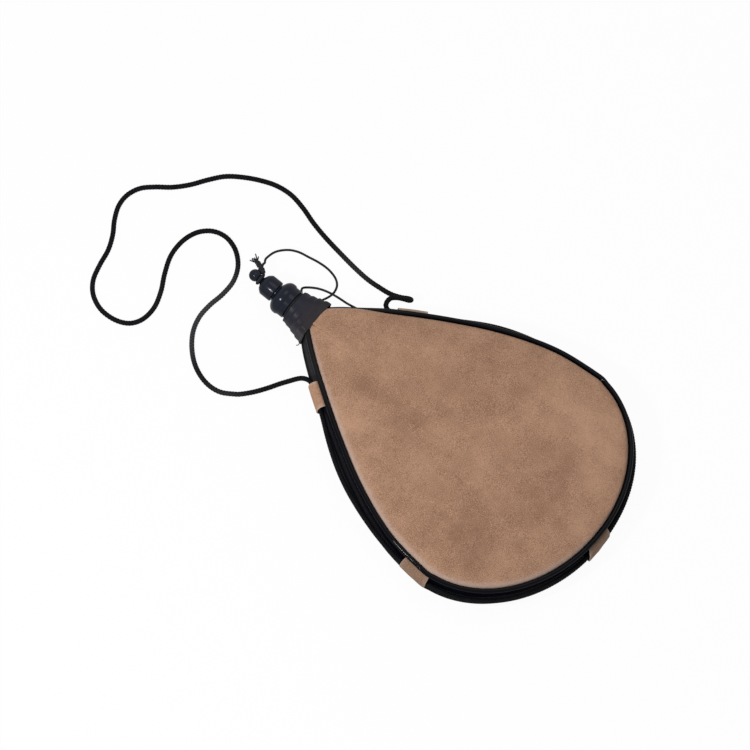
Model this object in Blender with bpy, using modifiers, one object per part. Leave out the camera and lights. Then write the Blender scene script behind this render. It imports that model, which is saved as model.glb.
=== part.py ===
"""Leather bota bag: a flat teardrop wineskin that lies on its back, neck towards +Y.

Two suede panels are sewn to a black side band with a round piping in each seam. A latex bladder
inside is bound to a screw-thread spout, which takes a filler cap, and that takes a small drinking
cap with a ball top. A braided cord runs round the edge through five suede loops and leaves the
two upper ones as the shoulder strap. Units are metres, +Z is up, and Z = 0 is the surface that
the back panel rests on.
"""
import math

import bmesh
import bpy
import numpy as np
from mathutils import Vector

# Suede outline, measured at the seam line
BAG_HALF_WIDTH = 0.0952
BOTTOM_DEPTH = 0.0733
FLANK_LENGTH = 0.1710
TUCK_LENGTH = 0.0050
TUCK_TAPER = 0.0010
OUTLINE_STEPS = 34

# Panels and the side band between them
SUEDE = 0.0014
FRONT_CROWN = 0.0060
BACK_CROWN = 0.0043
SEAM_HALF_HEIGHT = 0.0095
TUCK_SEAM_HALF_HEIGHT = 0.0080
SEAM_EASE_LENGTH = 0.0140
PIPING_RADIUS = 0.00175
SEAM_GAP = 0.0006
BAND_WALL = 0.0012
BAND_BULGE = 0.0005
CLEARANCE = 0.0003
CORD_CLEARANCE = 0.0005

# Cord round the edge and its suede loops
CORD_RADIUS = 0.00175
CORD_SLACK = 0.0028
LOWER_CORD_SLACK = 0.00034
LOOP_WALL = 0.0011
LOOP_LENGTH = 0.0205
LOOP_HALF_HEIGHT = 0.0069
LOOP_MOUTH_INSET = 0.0025
LOOP_SHARES = {
    "strap_loop_upper_left": 0.0828,
    "strap_loop_lower_left": 0.295,
    "strap_loop_bottom": 0.506,
    "strap_loop_lower_right": 0.712,
    "strap_loop_upper_right": 0.899,
}

# Bladder
BLADDER_WALL = 0.0006
BLADDER_MARGIN = 0.0060
BLADDER_HALF_HEIGHT = 0.0078
BLADDER_NECK_LENGTH = 0.0115

# Wrapped collar
COLLAR_OVERLAP = 0.0010
COLLAR_LENGTH = 0.0193
COLLAR_BASE_HALF_WIDTH = 0.0159
MOUTH_INSET = 0.0079
COLLAR_HALF_HEIGHT = 0.0124
COLLAR_TOP_RADIUS = 0.0127
COLLAR_WALL = 0.0008
COLLAR_TURNS = 4
COLLAR_SQUARENESS = 7.0
COLLAR_STEP = 0.00035

# Spout: tail in the bladder neck, flange under the collar, threaded spigot
SPOUT_BORE_RADIUS = 0.0044
TAIL_RADIUS = 0.0057
TAIL_LENGTH = 0.0160
BARB_HEIGHT = 0.0004
BARB_LENGTH = 0.0022
FLANGE_WALL = 0.0020
FLANGE_RADIUS = 0.0110
SPIGOT_RADIUS = 0.0089
SPIGOT_BORE_RADIUS = 0.0064
SPIGOT_LENGTH = 0.0072
THREAD_CLEARANCE = 0.0003

# Twine that binds the bladder to the tail
TWINE_RADIUS = 0.0006
TWINE_TURNS = 4
TWINE_GAP = 0.0005

# Filler cap with its nozzle
TETHER_GROOVE = 0.0020
FILLER_RADIUS = 0.0121
FILLER_REAR_RADIUS = 0.0113
FILLER_SKIRT = 0.0094
FILLER_HEIGHT = 0.0135
FILLER_DOME_WIDTH = 0.0087
FILLER_DOME_HEIGHT = 0.0061
FILLER_RIM_LENGTH = 0.0011
FILLER_EASE_LENGTH = 0.0024
GASKET_WALL = 0.0012
GASKET_GAP = 0.0002
NOZZLE_RADIUS = 0.0056
NOZZLE_LENGTH = 0.0076
JET_RADIUS = 0.0010
NOZZLE_CHAMBER_RADIUS = 0.0026
NOZZLE_TIP_WALL = 0.0022

# Drinking cap with its ball top
CAP_REST_GAP = 0.0004
CAP_RADIUS = 0.0078
CAP_LENGTH = 0.0133
CAP_SHOULDER = 0.0052
CAP_ROOF = 0.0044
CAP_EDGE = 0.0009
LINER_WALL = 0.0010
STEM_RADIUS = 0.0020
STEM_LENGTH = 0.0055
BALL_RADIUS = 0.0043

# Thin cord that keeps the drinking cap on the bag
TETHER_RADIUS = 0.00068
KNOT_RADIUS = 0.0024
TASSEL_RADIUS = 0.0026

ROUND_STEPS = 28
FINE_ROUND_STEPS = 24

# Levels that everything is placed from
MOUTH_HALF_WIDTH = COLLAR_BASE_HALF_WIDTH - MOUTH_INSET
TUCK_HALF_WIDTH = MOUTH_HALF_WIDTH - TUCK_TAPER
MID_Z = SUEDE / 2 + BACK_CROWN + SEAM_HALF_HEIGHT
PIPING_OFFSET = SEAM_GAP + PIPING_RADIUS
BAND_FACE = PIPING_OFFSET + BAND_WALL / 2
CORD_OFFSET = BAND_FACE + BAND_BULGE + CORD_CLEARANCE + CORD_RADIUS
LOOP_REACH = CORD_OFFSET + CORD_RADIUS + CORD_CLEARANCE + LOOP_WALL
NECK_REACH = (COLLAR_LENGTH - COLLAR_OVERLAP + TETHER_GROOVE + FILLER_HEIGHT
              + CAP_REST_GAP + CAP_LENGTH + STEM_LENGTH + BALL_RADIUS)
WIDEST_Y = (BOTTOM_DEPTH + LOOP_REACH - FLANK_LENGTH - NECK_REACH) / 2
MOUTH_Y = WIDEST_Y + FLANK_LENGTH
TUCK_Y = MOUTH_Y + TUCK_LENGTH
COLLAR_BASE_Y = MOUTH_Y - COLLAR_OVERLAP
COLLAR_TOP_Y = COLLAR_BASE_Y + COLLAR_LENGTH
TETHER_Y = COLLAR_TOP_Y + TETHER_GROOVE / 2
FILLER_Y = COLLAR_TOP_Y + TETHER_GROOVE
FILLER_TOP_Y = FILLER_Y + FILLER_HEIGHT
CAP_Y = FILLER_TOP_Y + CAP_REST_GAP
CAP_TOP_Y = CAP_Y + CAP_LENGTH
BALL_Y = CAP_TOP_Y + STEM_LENGTH
FLANGE_TOP_Y = COLLAR_TOP_Y - CLEARANCE
FLANGE_Y = FLANGE_TOP_Y - 2 * FLANGE_WALL - CLEARANCE
TAIL_Y = FLANGE_Y - TAIL_LENGTH

# Flank of the outline: share of the way from the widest line to the mouth, and share of the
# width that is left above the mouth's own width
FLANK_SHARES = [(0.19, 0.946), (0.40, 0.788), (0.61, 0.556), (0.82, 0.282), (0.93, 0.121)]

# Front of the drinking cap: share of the way from its stem out to its side, and share of the
# shoulder's length
CAP_FRONT_SHARES = [(0.26, 0.21), (0.59, 0.385), (0.79, 0.615), (0.95, 0.85), (1.0, 1.0)]

# Panel rings from the seam inwards: scale share and share of the crown's height
FRONT_RING_SHARES = [(0.965, 0.30), (0.90, 0.60), (0.78, 0.84), (0.58, 0.96), (0.30, 1.00)]
BACK_RING_SHARES = [(0.965, 0.34), (0.90, 0.70), (0.80, 1.00)]

# Free cords, as points chosen on the surface and up to what holds them
STRAP_ROUTE = [
    (-0.0363, 0.0733, 0.0148), (-0.0368, 0.0765, 0.0149), (-0.0382, 0.0795, 0.0140),
    (-0.0403, 0.0822, 0.0119), (-0.0431, 0.0853, 0.0084), (-0.0472, 0.0892, 0.0047),
    (-0.0547, 0.0941, 0.0022), (-0.0625, 0.0990, 0.0018), (-0.0696, 0.1044, 0.0018),
    (-0.0735, 0.1085, 0.0018), (-0.0793, 0.1177, 0.0018), (-0.0801, 0.1290, 0.0018),
    (-0.0758, 0.1410, 0.0018), (-0.0675, 0.1511, 0.0018), (-0.0566, 0.1588, 0.0018),
    (-0.0450, 0.1624, 0.0018), (-0.0330, 0.1625, 0.0018), (-0.0211, 0.1609, 0.0018),
    (-0.0087, 0.1613, 0.0018), (0.0023, 0.1657, 0.0018), (0.0103, 0.1738, 0.0018),
    (0.0138, 0.1832, 0.0018), (0.0130, 0.1914, 0.0018), (0.0088, 0.1983, 0.0018),
    (0.0012, 0.2037, 0.0018), (-0.0098, 0.2064, 0.0018), (-0.0228, 0.2055, 0.0018),
    (-0.0360, 0.2004, 0.0018), (-0.0480, 0.1942, 0.0018), (-0.0605, 0.1902, 0.0018),
    (-0.0725, 0.1907, 0.0018), (-0.0813, 0.1957, 0.0018), (-0.0861, 0.2050, 0.0018),
    (-0.0866, 0.2167, 0.0018), (-0.0819, 0.2273, 0.0018), (-0.0732, 0.2344, 0.0018),
    (-0.0612, 0.2381, 0.0018), (-0.0487, 0.2406, 0.0018), (-0.0378, 0.2452, 0.0018),
    (-0.0279, 0.2514, 0.0018), (-0.0177, 0.2557, 0.0018), (-0.0075, 0.2562, 0.0018),
    (0.0023, 0.2526, 0.0018), (0.0103, 0.2453, 0.0018), (0.0181, 0.2364, 0.0018),
    (0.0278, 0.2284, 0.0018), (0.0390, 0.2214, 0.0018), (0.0487, 0.2143, 0.0018),
    (0.0560, 0.2056, 0.0018), (0.0627, 0.1947, 0.0018), (0.0675, 0.1832, 0.0018),
    (0.0690, 0.1712, 0.0018), (0.0669, 0.1592, 0.0018), (0.0631, 0.1470, 0.0018),
    (0.0603, 0.1345, 0.0018), (0.0581, 0.1200, 0.0018), (0.0563, 0.1056, 0.0018),
    (0.0555, 0.0930, 0.0018), (0.0562, 0.0834, 0.0018), (0.0576, 0.0742, 0.0018),
    (0.0604, 0.0672, 0.0020), (0.0622, 0.0626, 0.0042), (0.0610, 0.0598, 0.0086),
    (0.0580, 0.0600, 0.0127), (0.0552, 0.0634, 0.0150), (0.0527, 0.0670, 0.0157),
    (0.0495, 0.0700, 0.0156), (0.0460, 0.0704, 0.0152), (0.0431, 0.0691, 0.0149),
    (0.0418, 0.0662, 0.0146), (0.0426, 0.0631, 0.0145),
]
CAP_LINE_ROUTE = [
    (0.0155, 0.1533, 0.0137), (0.0246, 0.1518, 0.0112), (0.0326, 0.1468, 0.0082),
    (0.0377, 0.1407, 0.0052), (0.0405, 0.1335, 0.0028), (0.0428, 0.1255, 0.0013),
    (0.0434, 0.1175, 0.00075), (0.0417, 0.1104, 0.00075), (0.0384, 0.1061, 0.00075),
    (0.0338, 0.1043, 0.00075), (0.0287, 0.1045, 0.00075), (0.0232, 0.1065, 0.00075),
    (0.0172, 0.1094, 0.00075), (0.0112, 0.1129, 0.00075), (0.0058, 0.1154, 0.00075),
]
BAG_LINE_ROUTE = [
    (0.0133, 0.1197, 0.0106), (0.0166, 0.1212, 0.0099), (0.0205, 0.1178, 0.0095),
    (0.0243, 0.1122, 0.0092), (0.0267, 0.1055, 0.0092), (0.0277, 0.0980, 0.0100),
    (0.0277, 0.0905, 0.0118),
]
BAG_LINE_END_SHARE = 0.955
BEND_LENGTH = 0.0200
EDGE_CORD_POINTS = 61
STRAP_POINTS = 80
CAP_LINE_POINTS = 34
BAG_LINE_POINTS = 20

parts = None
cutters = None


def start():
    """Empty the scene and make one collection for the pieces and one for the cutters."""
    global parts, cutters
    for old in list(bpy.data.objects):
        bpy.data.objects.remove(old, do_unlink=True)
    parts = bpy.data.collections.new("bota_bag")
    cutters = bpy.data.collections.new("cutters")
    bpy.context.scene.collection.children.link(parts)
    bpy.context.scene.collection.children.link(cutters)


def material(name, color, roughness):
    """A plain finish, made once under its name."""
    found = bpy.data.materials.get(name)
    if found:
        return found
    made = bpy.data.materials.new(name)
    made.use_nodes = True
    shader = made.node_tree.nodes["Principled BSDF"]
    shader.inputs["Base Color"].default_value = (*color, 1.0)
    shader.inputs["Roughness"].default_value = roughness
    shader.inputs["Metallic"].default_value = 0.0
    return made


def suede():
    return material("tan_suede", (0.37, 0.22, 0.145), 0.95)


def leatherette():
    return material("black_leatherette", (0.013, 0.014, 0.018), 0.42)


def braid():
    return material("black_braid", (0.010, 0.010, 0.013), 0.85)


def moulded():
    return material("black_plastic", (0.012, 0.013, 0.018), 0.33)


def latex():
    return material("latex", (0.55, 0.42, 0.26), 0.6)


def seal_rubber():
    return material("seal_rubber", (0.05, 0.05, 0.05), 0.7)


def add_object(name, data, finish, collection=None):
    """Link a mesh or curve as a named object with its finish."""
    made = bpy.data.objects.new(name, data)
    (collection or parts).objects.link(made)
    made.data.materials.append(finish)
    return made


def smooth_curve(points, per_span=12):
    """Dense points of a smooth curve through all the given points."""
    given = [np.array(p, dtype=float) for p in points]
    ends = [2 * given[0] - given[1]] + given + [2 * given[-1] - given[-2]]
    dense = []
    for before, start_point, end_point, after in zip(ends, ends[1:], ends[2:], ends[3:]):
        for step in range(per_span):
            t = step / per_span
            dense.append(0.5 * (2 * start_point + (end_point - before) * t
                                + (2 * before - 5 * start_point + 4 * end_point - after) * t * t
                                + (3 * start_point - before - 3 * end_point + after) * t ** 3))
    dense.append(given[-1])
    return np.array(dense)


def evenly(dense, count, bend_length=0.0):
    """The same curve as count + 1 points, closer together in its bends if a length is given."""
    steps = np.diff(dense, axis=0)
    lengths = np.linalg.norm(steps, axis=1)
    headings = steps / lengths[:, None]
    turning = np.arccos(np.clip((headings[1:] * headings[:-1]).sum(axis=1), -1.0, 1.0))
    lengths[1:] += turning * bend_length
    along = np.concatenate([[0], np.cumsum(lengths)])
    wanted = np.linspace(0, along[-1], count + 1)
    return np.array([[np.interp(w, along, dense[:, axis]) for axis in range(dense.shape[1])]
                     for w in wanted])


def seam_path():
    """The seam line seen from above, from the left tuck round the bottom to the right tuck."""
    half = []
    for step in range(13):
        angle = math.pi / 2 * step / 12
        half.append((BAG_HALF_WIDTH * math.sin(angle), WIDEST_Y - BOTTOM_DEPTH * math.cos(angle)))
    for along, left in FLANK_SHARES:
        width = MOUTH_HALF_WIDTH + (BAG_HALF_WIDTH - MOUTH_HALF_WIDTH) * left
        half.append((width, WIDEST_Y + FLANK_LENGTH * along))
    half.append((MOUTH_HALF_WIDTH, MOUTH_Y))
    tuck_middle = ((MOUTH_HALF_WIDTH + TUCK_HALF_WIDTH) / 2, (MOUTH_Y + TUCK_Y) / 2)
    right = [tuple(point) for point in evenly(smooth_curve(half), OUTLINE_STEPS)]
    right += [tuck_middle, (TUCK_HALF_WIDTH, TUCK_Y)]
    left = [(-x, y) for x, y in reversed(right[1:])]
    return np.array(left + right)


def seam_half_height(y):
    """Half the height between the two seams, which draw together inside the collar."""
    share = (y - (MOUTH_Y - SEAM_EASE_LENGTH)) / (SEAM_EASE_LENGTH + TUCK_LENGTH)
    share = min(max(share, 0.0), 1.0)
    ease = share * share * (3 - 2 * share)
    return SEAM_HALF_HEIGHT + (TUCK_SEAM_HALF_HEIGHT - SEAM_HALF_HEIGHT) * ease


class Edge:
    """The seam path read at any share of its length, with its outward direction."""

    def __init__(self):
        self.path = seam_path()
        steps = np.linalg.norm(np.diff(self.path, axis=0), axis=1)
        self.along = np.concatenate([[0], np.cumsum(steps)])
        self.length = self.along[-1]

    def point(self, share):
        wanted = share * self.length
        return Vector((np.interp(wanted, self.along, self.path[:, 0]),
                       np.interp(wanted, self.along, self.path[:, 1])))

    def tangent(self, share):
        reach = 0.5 / len(self.path)
        return (self.point(min(share + reach, 1.0)) - self.point(max(share - reach, 0.0))).normalized()

    def outward(self, share):
        tangent = self.tangent(share)
        return Vector((tangent.y, -tangent.x))

    def at(self, share, offset, rise=0.0):
        """A point beside the seam line: offset outwards, rise from the mid height."""
        flat = self.point(share) + self.outward(share) * offset
        return Vector((flat.x, flat.y, MID_Z + rise))

    def shares(self):
        return [along / self.length for along in self.along]


def loft(name, sections, finish, closed_section=False, closed_run=False):
    """A skin through sections that have as many points each."""
    shape = bmesh.new()
    rows = [[shape.verts.new(point) for point in section] for section in sections]
    width = len(rows[0])
    spans = width if closed_section else width - 1
    runs = len(rows) if closed_run else len(rows) - 1
    for run in range(runs):
        row, after = rows[run], rows[(run + 1) % len(rows)]
        for span in range(spans):
            side = (span + 1) % width
            shape.faces.new((row[span], after[span], after[side], row[side]))
    bmesh.ops.recalc_face_normals(shape, faces=shape.faces)
    mesh = bpy.data.meshes.new(name)
    shape.to_mesh(mesh)
    shape.free()
    mesh.shade_smooth()
    return add_object(name, mesh, finish)


def solidify(made, thickness, offset):
    """Give an open skin its wall."""
    wall = made.modifiers.new("wall", "SOLIDIFY")
    wall.thickness = thickness
    wall.offset = offset
    wall.use_rim = True
    return made


def tube(name, points, radius, finish, radii=None, sides_resolution=2, origin=(0.0, 0.0, 0.0)):
    """A round cord or bead along points, closed at both ends; origin is where its object sits."""
    data = bpy.data.curves.new(name, "CURVE")
    data.dimensions = "3D"
    data.bevel_depth = radius
    data.bevel_resolution = sides_resolution
    data.use_fill_caps = True
    line = data.splines.new("POLY")
    line.points.add(len(points) - 1)
    for index, point in enumerate(points):
        line.points[index].co = (*(Vector(point) - Vector(origin)), 1.0)
        if radii is not None:
            line.points[index].radius = radii[index]
    made = add_object(name, data, finish)
    made.location = origin
    return made


def turned(name, profile, finish, steps=ROUND_STEPS, collection=None):
    """A round piece on the neck's axis from a closed profile of (radius, distance along +Y)."""
    mesh = bpy.data.meshes.new(name)
    count = len(profile)
    mesh.from_pydata([(radius, 0.0, along) for radius, along in profile],
                     [(i, (i + 1) % count) for i in range(count)], [])
    made = add_object(name, mesh, finish, collection)
    made.location = (0.0, 0.0, MID_Z)
    made.rotation_euler = (-math.pi / 2, 0.0, 0.0)
    screw = made.modifiers.new("turn", "SCREW")
    screw.axis = "Z"
    screw.steps = steps
    screw.render_steps = steps
    screw.use_merge_vertices = True
    screw.merge_threshold = 0.00001
    screw.use_smooth_shade = True
    return made


def arc(centre_radius, centre_along, width, height, from_degrees, to_degrees, steps):
    """Profile points on a round or oval dome, by angle from the outward direction to the front."""
    turns = [math.radians(from_degrees + (to_degrees - from_degrees) * i / steps)
             for i in range(steps + 1)]
    return [(centre_radius + width * math.cos(a), centre_along + height * math.sin(a)) for a in turns]


def as_mesh(made):
    """Turn a curve object, or one with modifiers, into a plain mesh object of the same name."""
    graph = bpy.context.evaluated_depsgraph_get()
    graph.update()
    mesh = bpy.data.meshes.new_from_object(made.evaluated_get(graph))
    shape = bmesh.new()
    shape.from_mesh(mesh)
    bmesh.ops.remove_doubles(shape, verts=shape.verts, dist=0.00001)
    shape.to_mesh(mesh)
    shape.free()
    name, place = made.name, made.matrix_world.copy()
    collection = made.users_collection[0]
    bpy.data.objects.remove(made, do_unlink=True)
    plain = bpy.data.objects.new(name, mesh)
    plain.matrix_world = place
    collection.objects.link(plain)
    return plain


def join(base, other):
    """Union another solid into base and keep it as a hidden guide."""
    parts.objects.unlink(other)
    cutters.objects.link(other)
    other.hide_render = True
    other.display_type = "WIRE"
    union = base.modifiers.new("join " + other.name, "BOOLEAN")
    union.operation = "UNION"
    union.solver = "EXACT"
    union.object = other


# Bag

def panel(name, side, crown, ring_shares):
    """A suede panel: the seam line drawn inwards ring by ring up to its crown."""
    path = edge.path
    centre = Vector((0.0, WIDEST_Y))
    rings = []
    for scale, lift in [(1.0, 0.0)] + ring_shares:
        ring = []
        for x, y in path:
            flat = centre + (Vector((x, y)) - centre) * scale
            height = seam_half_height(flat.y) + crown * lift
            ring.append((flat.x, flat.y, MID_Z + side * height))
        rings.append(ring)
    made = loft(name, rings, suede(), closed_section=True)
    shape = bmesh.new()
    shape.from_mesh(made.data)
    shape.verts.ensure_lookup_table()
    inner = [shape.verts[len(path) * (len(rings) - 1) + i] for i in range(len(path))]
    shape.faces.new(inner)
    bmesh.ops.recalc_face_normals(shape, faces=shape.faces)
    if sum(face.normal.z * face.calc_area() for face in shape.faces) * side < 0:
        bmesh.ops.reverse_faces(shape, faces=shape.faces)
    shape.to_mesh(made.data)
    shape.free()
    return solidify(made, SUEDE, 0.0)


def side_band():
    """The black band between the two seams, a little round in its middle."""
    sections = []
    for share in edge.shares():
        half = seam_half_height(edge.point(share).y) - PIPING_RADIUS - CLEARANCE
        sections.append([edge.at(share, PIPING_OFFSET, half),
                         edge.at(share, PIPING_OFFSET + BAND_BULGE, 0.0),
                         edge.at(share, PIPING_OFFSET, -half)])
    return solidify(loft("side_band", sections, leatherette()), BAND_WALL, 0.0)


def piping(name, side):
    """The round bead in one seam, both ends inside the collar."""
    points = [edge.at(share, PIPING_OFFSET, side * seam_half_height(edge.point(share).y))
              for share in edge.shares()]
    return tube(name, points, PIPING_RADIUS, leatherette())


def strap_loop(name, share):
    """A suede strip round the cord, its ends on the band just inside the pipings."""
    half_span = LOOP_LENGTH / 2 / edge.length
    root = BAND_FACE + CLEARANCE
    reach = LOOP_REACH - LOOP_WALL / 2 - root
    sections = []
    for step in range(5):
        here = share + half_span * (step / 2 - 1)
        section = []
        for turn in range(9):
            angle = math.pi / 2 - math.pi * turn / 8
            section.append(edge.at(here, root + reach * math.cos(angle),
                                   LOOP_HALF_HEIGHT * math.sin(angle)))
        sections.append(section)
    return solidify(loft(name, sections, suede()), LOOP_WALL, 0.0)


def slack_at(share):
    """How far the cord stands off the band between two loops."""
    places = list(LOOP_SHARES.values())
    reach = LOOP_LENGTH / 2 / edge.length
    span_slacks = [CORD_SLACK, LOWER_CORD_SLACK, LOWER_CORD_SLACK, CORD_SLACK]
    for index, slack in enumerate(span_slacks):
        low, high = places[index] + reach, places[index + 1] - reach
        if low < share < high:
            return slack * math.sin(math.pi * (share - low) / (high - low)) ** 2
    return 0.0


def cord_ends():
    """Where the cord round the edge stops inside the two upper loops."""
    places = list(LOOP_SHARES.values())
    inset = (LOOP_LENGTH / 2 - LOOP_MOUTH_INSET) / edge.length
    return places[0] - inset, places[-1] + inset


def edge_cord():
    """The strap's cord where the five loops hold it round the bag."""
    low, high = cord_ends()
    shares = np.linspace(low, high, EDGE_CORD_POINTS)
    points = [edge.at(share, CORD_OFFSET + slack_at(share)) for share in shares]
    return tube("edge_cord", points, CORD_RADIUS, braid())


def strap_cord():
    """The free shoulder cord, from the upper left loop over the floor to the upper right one."""
    low, high = cord_ends()
    gap = CLEARANCE / edge.length
    mouth = LOOP_MOUTH_INSET / edge.length
    leaving = edge.at(low - gap - mouth, CORD_OFFSET)
    entering = edge.at(high + gap + mouth, CORD_OFFSET)
    free = evenly(smooth_curve([leaving] + STRAP_ROUTE + [entering]), STRAP_POINTS, BEND_LENGTH)
    points = [edge.at(low - gap, CORD_OFFSET)] + list(free) + [edge.at(high + gap, CORD_OFFSET)]
    return tube("strap_cord", points, CORD_RADIUS, braid())


def bladder():
    """The latex bladder: flat sections from its neck to its closed bottom."""
    low = WIDEST_Y - BOTTOM_DEPTH + BLADDER_MARGIN
    neck_radius = TAIL_RADIUS + BARB_HEIGHT + CLEARANCE + BLADDER_WALL
    neck_y = FLANGE_Y - CLEARANCE
    body_top = neck_y - BLADDER_NECK_LENGTH
    right = edge.path[len(edge.path) // 2:]

    def half_width(y):
        return float(np.interp(y, right[:, 1], right[:, 0])) - BLADDER_MARGIN

    stations = [(neck_y, neck_radius, neck_radius, 2.0), (body_top, neck_radius, neck_radius, 2.0)]
    shoulder_shares = [0.06, 0.16, 0.30, 0.45, 0.60, 0.74, 0.86, 0.94, 0.985]
    for share in shoulder_shares:
        y = body_top + (low - body_top) * share
        width = max(half_width(y), neck_radius)
        blend = min(share / shoulder_shares[2], 1.0)
        round_end = min((1.0 - share) / (1.0 - shoulder_shares[-3]), 1.0) ** 0.5
        height = (neck_radius + (BLADDER_HALF_HEIGHT - neck_radius) * blend) * round_end
        stations.append((y, width, height, 2.0 + blend))
    sections = []
    for y, width, height, power in stations:
        sections.append([(width * squared(math.cos(a), power), y,
                          MID_Z + height * squared(math.sin(a), power))
                         for a in turn_angles(FINE_ROUND_STEPS)])
    made = loft("bladder", sections, latex(), closed_section=True)
    shape = bmesh.new()
    shape.from_mesh(made.data)
    shape.verts.ensure_lookup_table()
    last = [shape.verts[FINE_ROUND_STEPS * (len(stations) - 1) + i] for i in range(FINE_ROUND_STEPS)]
    shape.faces.new(last)
    bmesh.ops.recalc_face_normals(shape, faces=shape.faces)
    if volume_sign(shape) < 0:
        bmesh.ops.reverse_faces(shape, faces=shape.faces)
    shape.to_mesh(made.data)
    shape.free()
    return solidify(made, BLADDER_WALL, -1.0)


def volume_sign(shape):
    """Positive when the faces of a nearly closed skin point outwards."""
    middle = sum((vert.co for vert in shape.verts), Vector()) / len(shape.verts)
    return sum((face.calc_center_median() - middle).dot(face.normal) * face.calc_area()
               for face in shape.faces)


def turn_angles(steps):
    return [2 * math.pi * i / steps for i in range(steps)]


def squared(value, power):
    """A circle's cosine or sine made squarer: 2 is round, higher is boxier."""
    return math.copysign(abs(value) ** (2 / power), value)


# Neck

def collar_section(share, inset, step=0.0):
    """The collar's outline across the neck: boxy at its base on the bag, round at its top."""
    width = COLLAR_BASE_HALF_WIDTH + (COLLAR_TOP_RADIUS - COLLAR_BASE_HALF_WIDTH) * share
    height = COLLAR_HALF_HEIGHT + (COLLAR_TOP_RADIUS - COLLAR_HALF_HEIGHT) * share
    power = COLLAR_SQUARENESS + (2.0 - COLLAR_SQUARENESS) * share ** 0.8
    y = COLLAR_BASE_Y + COLLAR_LENGTH * share
    return [((width - inset - step) * squared(math.cos(a), power), y,
             MID_Z + (height - inset - step) * squared(math.sin(a), power))
            for a in turn_angles(ROUND_STEPS)]


def collar():
    """The strip wound round the neck: each turn stands a step proud of the next one up."""
    outer = []
    for turn in range(COLLAR_TURNS):
        low = turn / COLLAR_TURNS
        high = (turn + 1) / COLLAR_TURNS
        lip = 0.04 if turn + 1 < COLLAR_TURNS else 0.0
        outer.append(collar_section(low, 0.0, COLLAR_STEP if turn else 0.0))
        outer.append(collar_section(high - lip, 0.0))
    inner = [collar_section(share, COLLAR_WALL + COLLAR_STEP) for share in (1.0, 0.66, 0.33, 0.0)]
    return loft("neck_collar", outer + inner, leatherette(), closed_section=True, closed_run=True)


def spout():
    """The threaded spout: barbed tail, flange and spigot, open right through."""
    spigot_top = FILLER_Y + SPIGOT_LENGTH
    profile = [
        (SPIGOT_BORE_RADIUS, spigot_top), (SPIGOT_RADIUS - BARB_HEIGHT, spigot_top),
        (SPIGOT_RADIUS, spigot_top - BARB_HEIGHT), (SPIGOT_RADIUS, FLANGE_TOP_Y),
        (FLANGE_RADIUS, FLANGE_TOP_Y), (FLANGE_RADIUS, FLANGE_Y),
        (TAIL_RADIUS, FLANGE_Y), (TAIL_RADIUS, TAIL_Y + BARB_LENGTH),
        (TAIL_RADIUS + BARB_HEIGHT, TAIL_Y + BARB_LENGTH),
        (TAIL_RADIUS - BARB_HEIGHT, TAIL_Y), (SPOUT_BORE_RADIUS, TAIL_Y),
        (SPOUT_BORE_RADIUS, FLANGE_Y), (SPIGOT_BORE_RADIUS, FLANGE_Y + FLANGE_WALL),
    ]
    return turned("spout", profile, moulded())


def binding():
    """Waxed twine wound over the bladder's neck on the spout's tail."""
    winding = TAIL_RADIUS + BARB_HEIGHT + 2 * CLEARANCE + BLADDER_WALL + TWINE_RADIUS
    pitch = 2 * TWINE_RADIUS + TWINE_GAP
    top = FLANGE_Y - 2 * CLEARANCE - TWINE_RADIUS
    points = []
    for step in range(TWINE_TURNS * 12 + 1):
        angle = 2 * math.pi * step / 12
        points.append((winding * math.cos(angle), top - pitch * angle / (2 * math.pi),
                       MID_Z + winding * math.sin(angle)))
    return tube("neck_binding", points, TWINE_RADIUS, braid(), sides_resolution=1)


def filler_cap():
    """The cap that closes the filling mouth, with the drinking nozzle moulded on its top."""
    ceiling = FILLER_Y + FILLER_SKIRT
    nozzle_top = FILLER_TOP_Y + NOZZLE_LENGTH
    rim_front = FILLER_TOP_Y - FILLER_DOME_HEIGHT
    rim_rear = rim_front - FILLER_RIM_LENGTH
    dome_root = FILLER_RADIUS - FILLER_DOME_WIDTH
    nozzle_angle = math.degrees(math.acos((NOZZLE_RADIUS - dome_root) / FILLER_DOME_WIDTH))
    profile = [(JET_RADIUS, nozzle_top), (NOZZLE_RADIUS - BARB_HEIGHT, nozzle_top),
               (NOZZLE_RADIUS, nozzle_top - BARB_HEIGHT)]
    profile += arc(dome_root, rim_front, FILLER_DOME_WIDTH, FILLER_DOME_HEIGHT, nozzle_angle, 0, 6)
    bore = SPIGOT_RADIUS + THREAD_CLEARANCE
    profile += [(FILLER_RADIUS, rim_rear), (FILLER_REAR_RADIUS, rim_rear - FILLER_EASE_LENGTH),
                (FILLER_REAR_RADIUS, FILLER_Y + BARB_HEIGHT),
                (FILLER_REAR_RADIUS - BARB_HEIGHT, FILLER_Y),
                (bore, FILLER_Y), (bore, ceiling),
                (NOZZLE_CHAMBER_RADIUS, ceiling), (NOZZLE_CHAMBER_RADIUS, nozzle_top - NOZZLE_TIP_WALL),
                (JET_RADIUS, nozzle_top - NOZZLE_TIP_WALL + JET_RADIUS)]
    return turned("filler_cap", profile, moulded())


def filler_gasket():
    """The flat rubber ring between the spigot's rim and the cap."""
    top = FILLER_Y + FILLER_SKIRT - GASKET_GAP
    inner, outer = SPIGOT_BORE_RADIUS, SPIGOT_RADIUS
    low = top - GASKET_WALL
    return turned("filler_gasket", [(inner, top), (outer, top), (outer, low), (inner, low)],
                  seal_rubber(), FINE_ROUND_STEPS)


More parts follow.
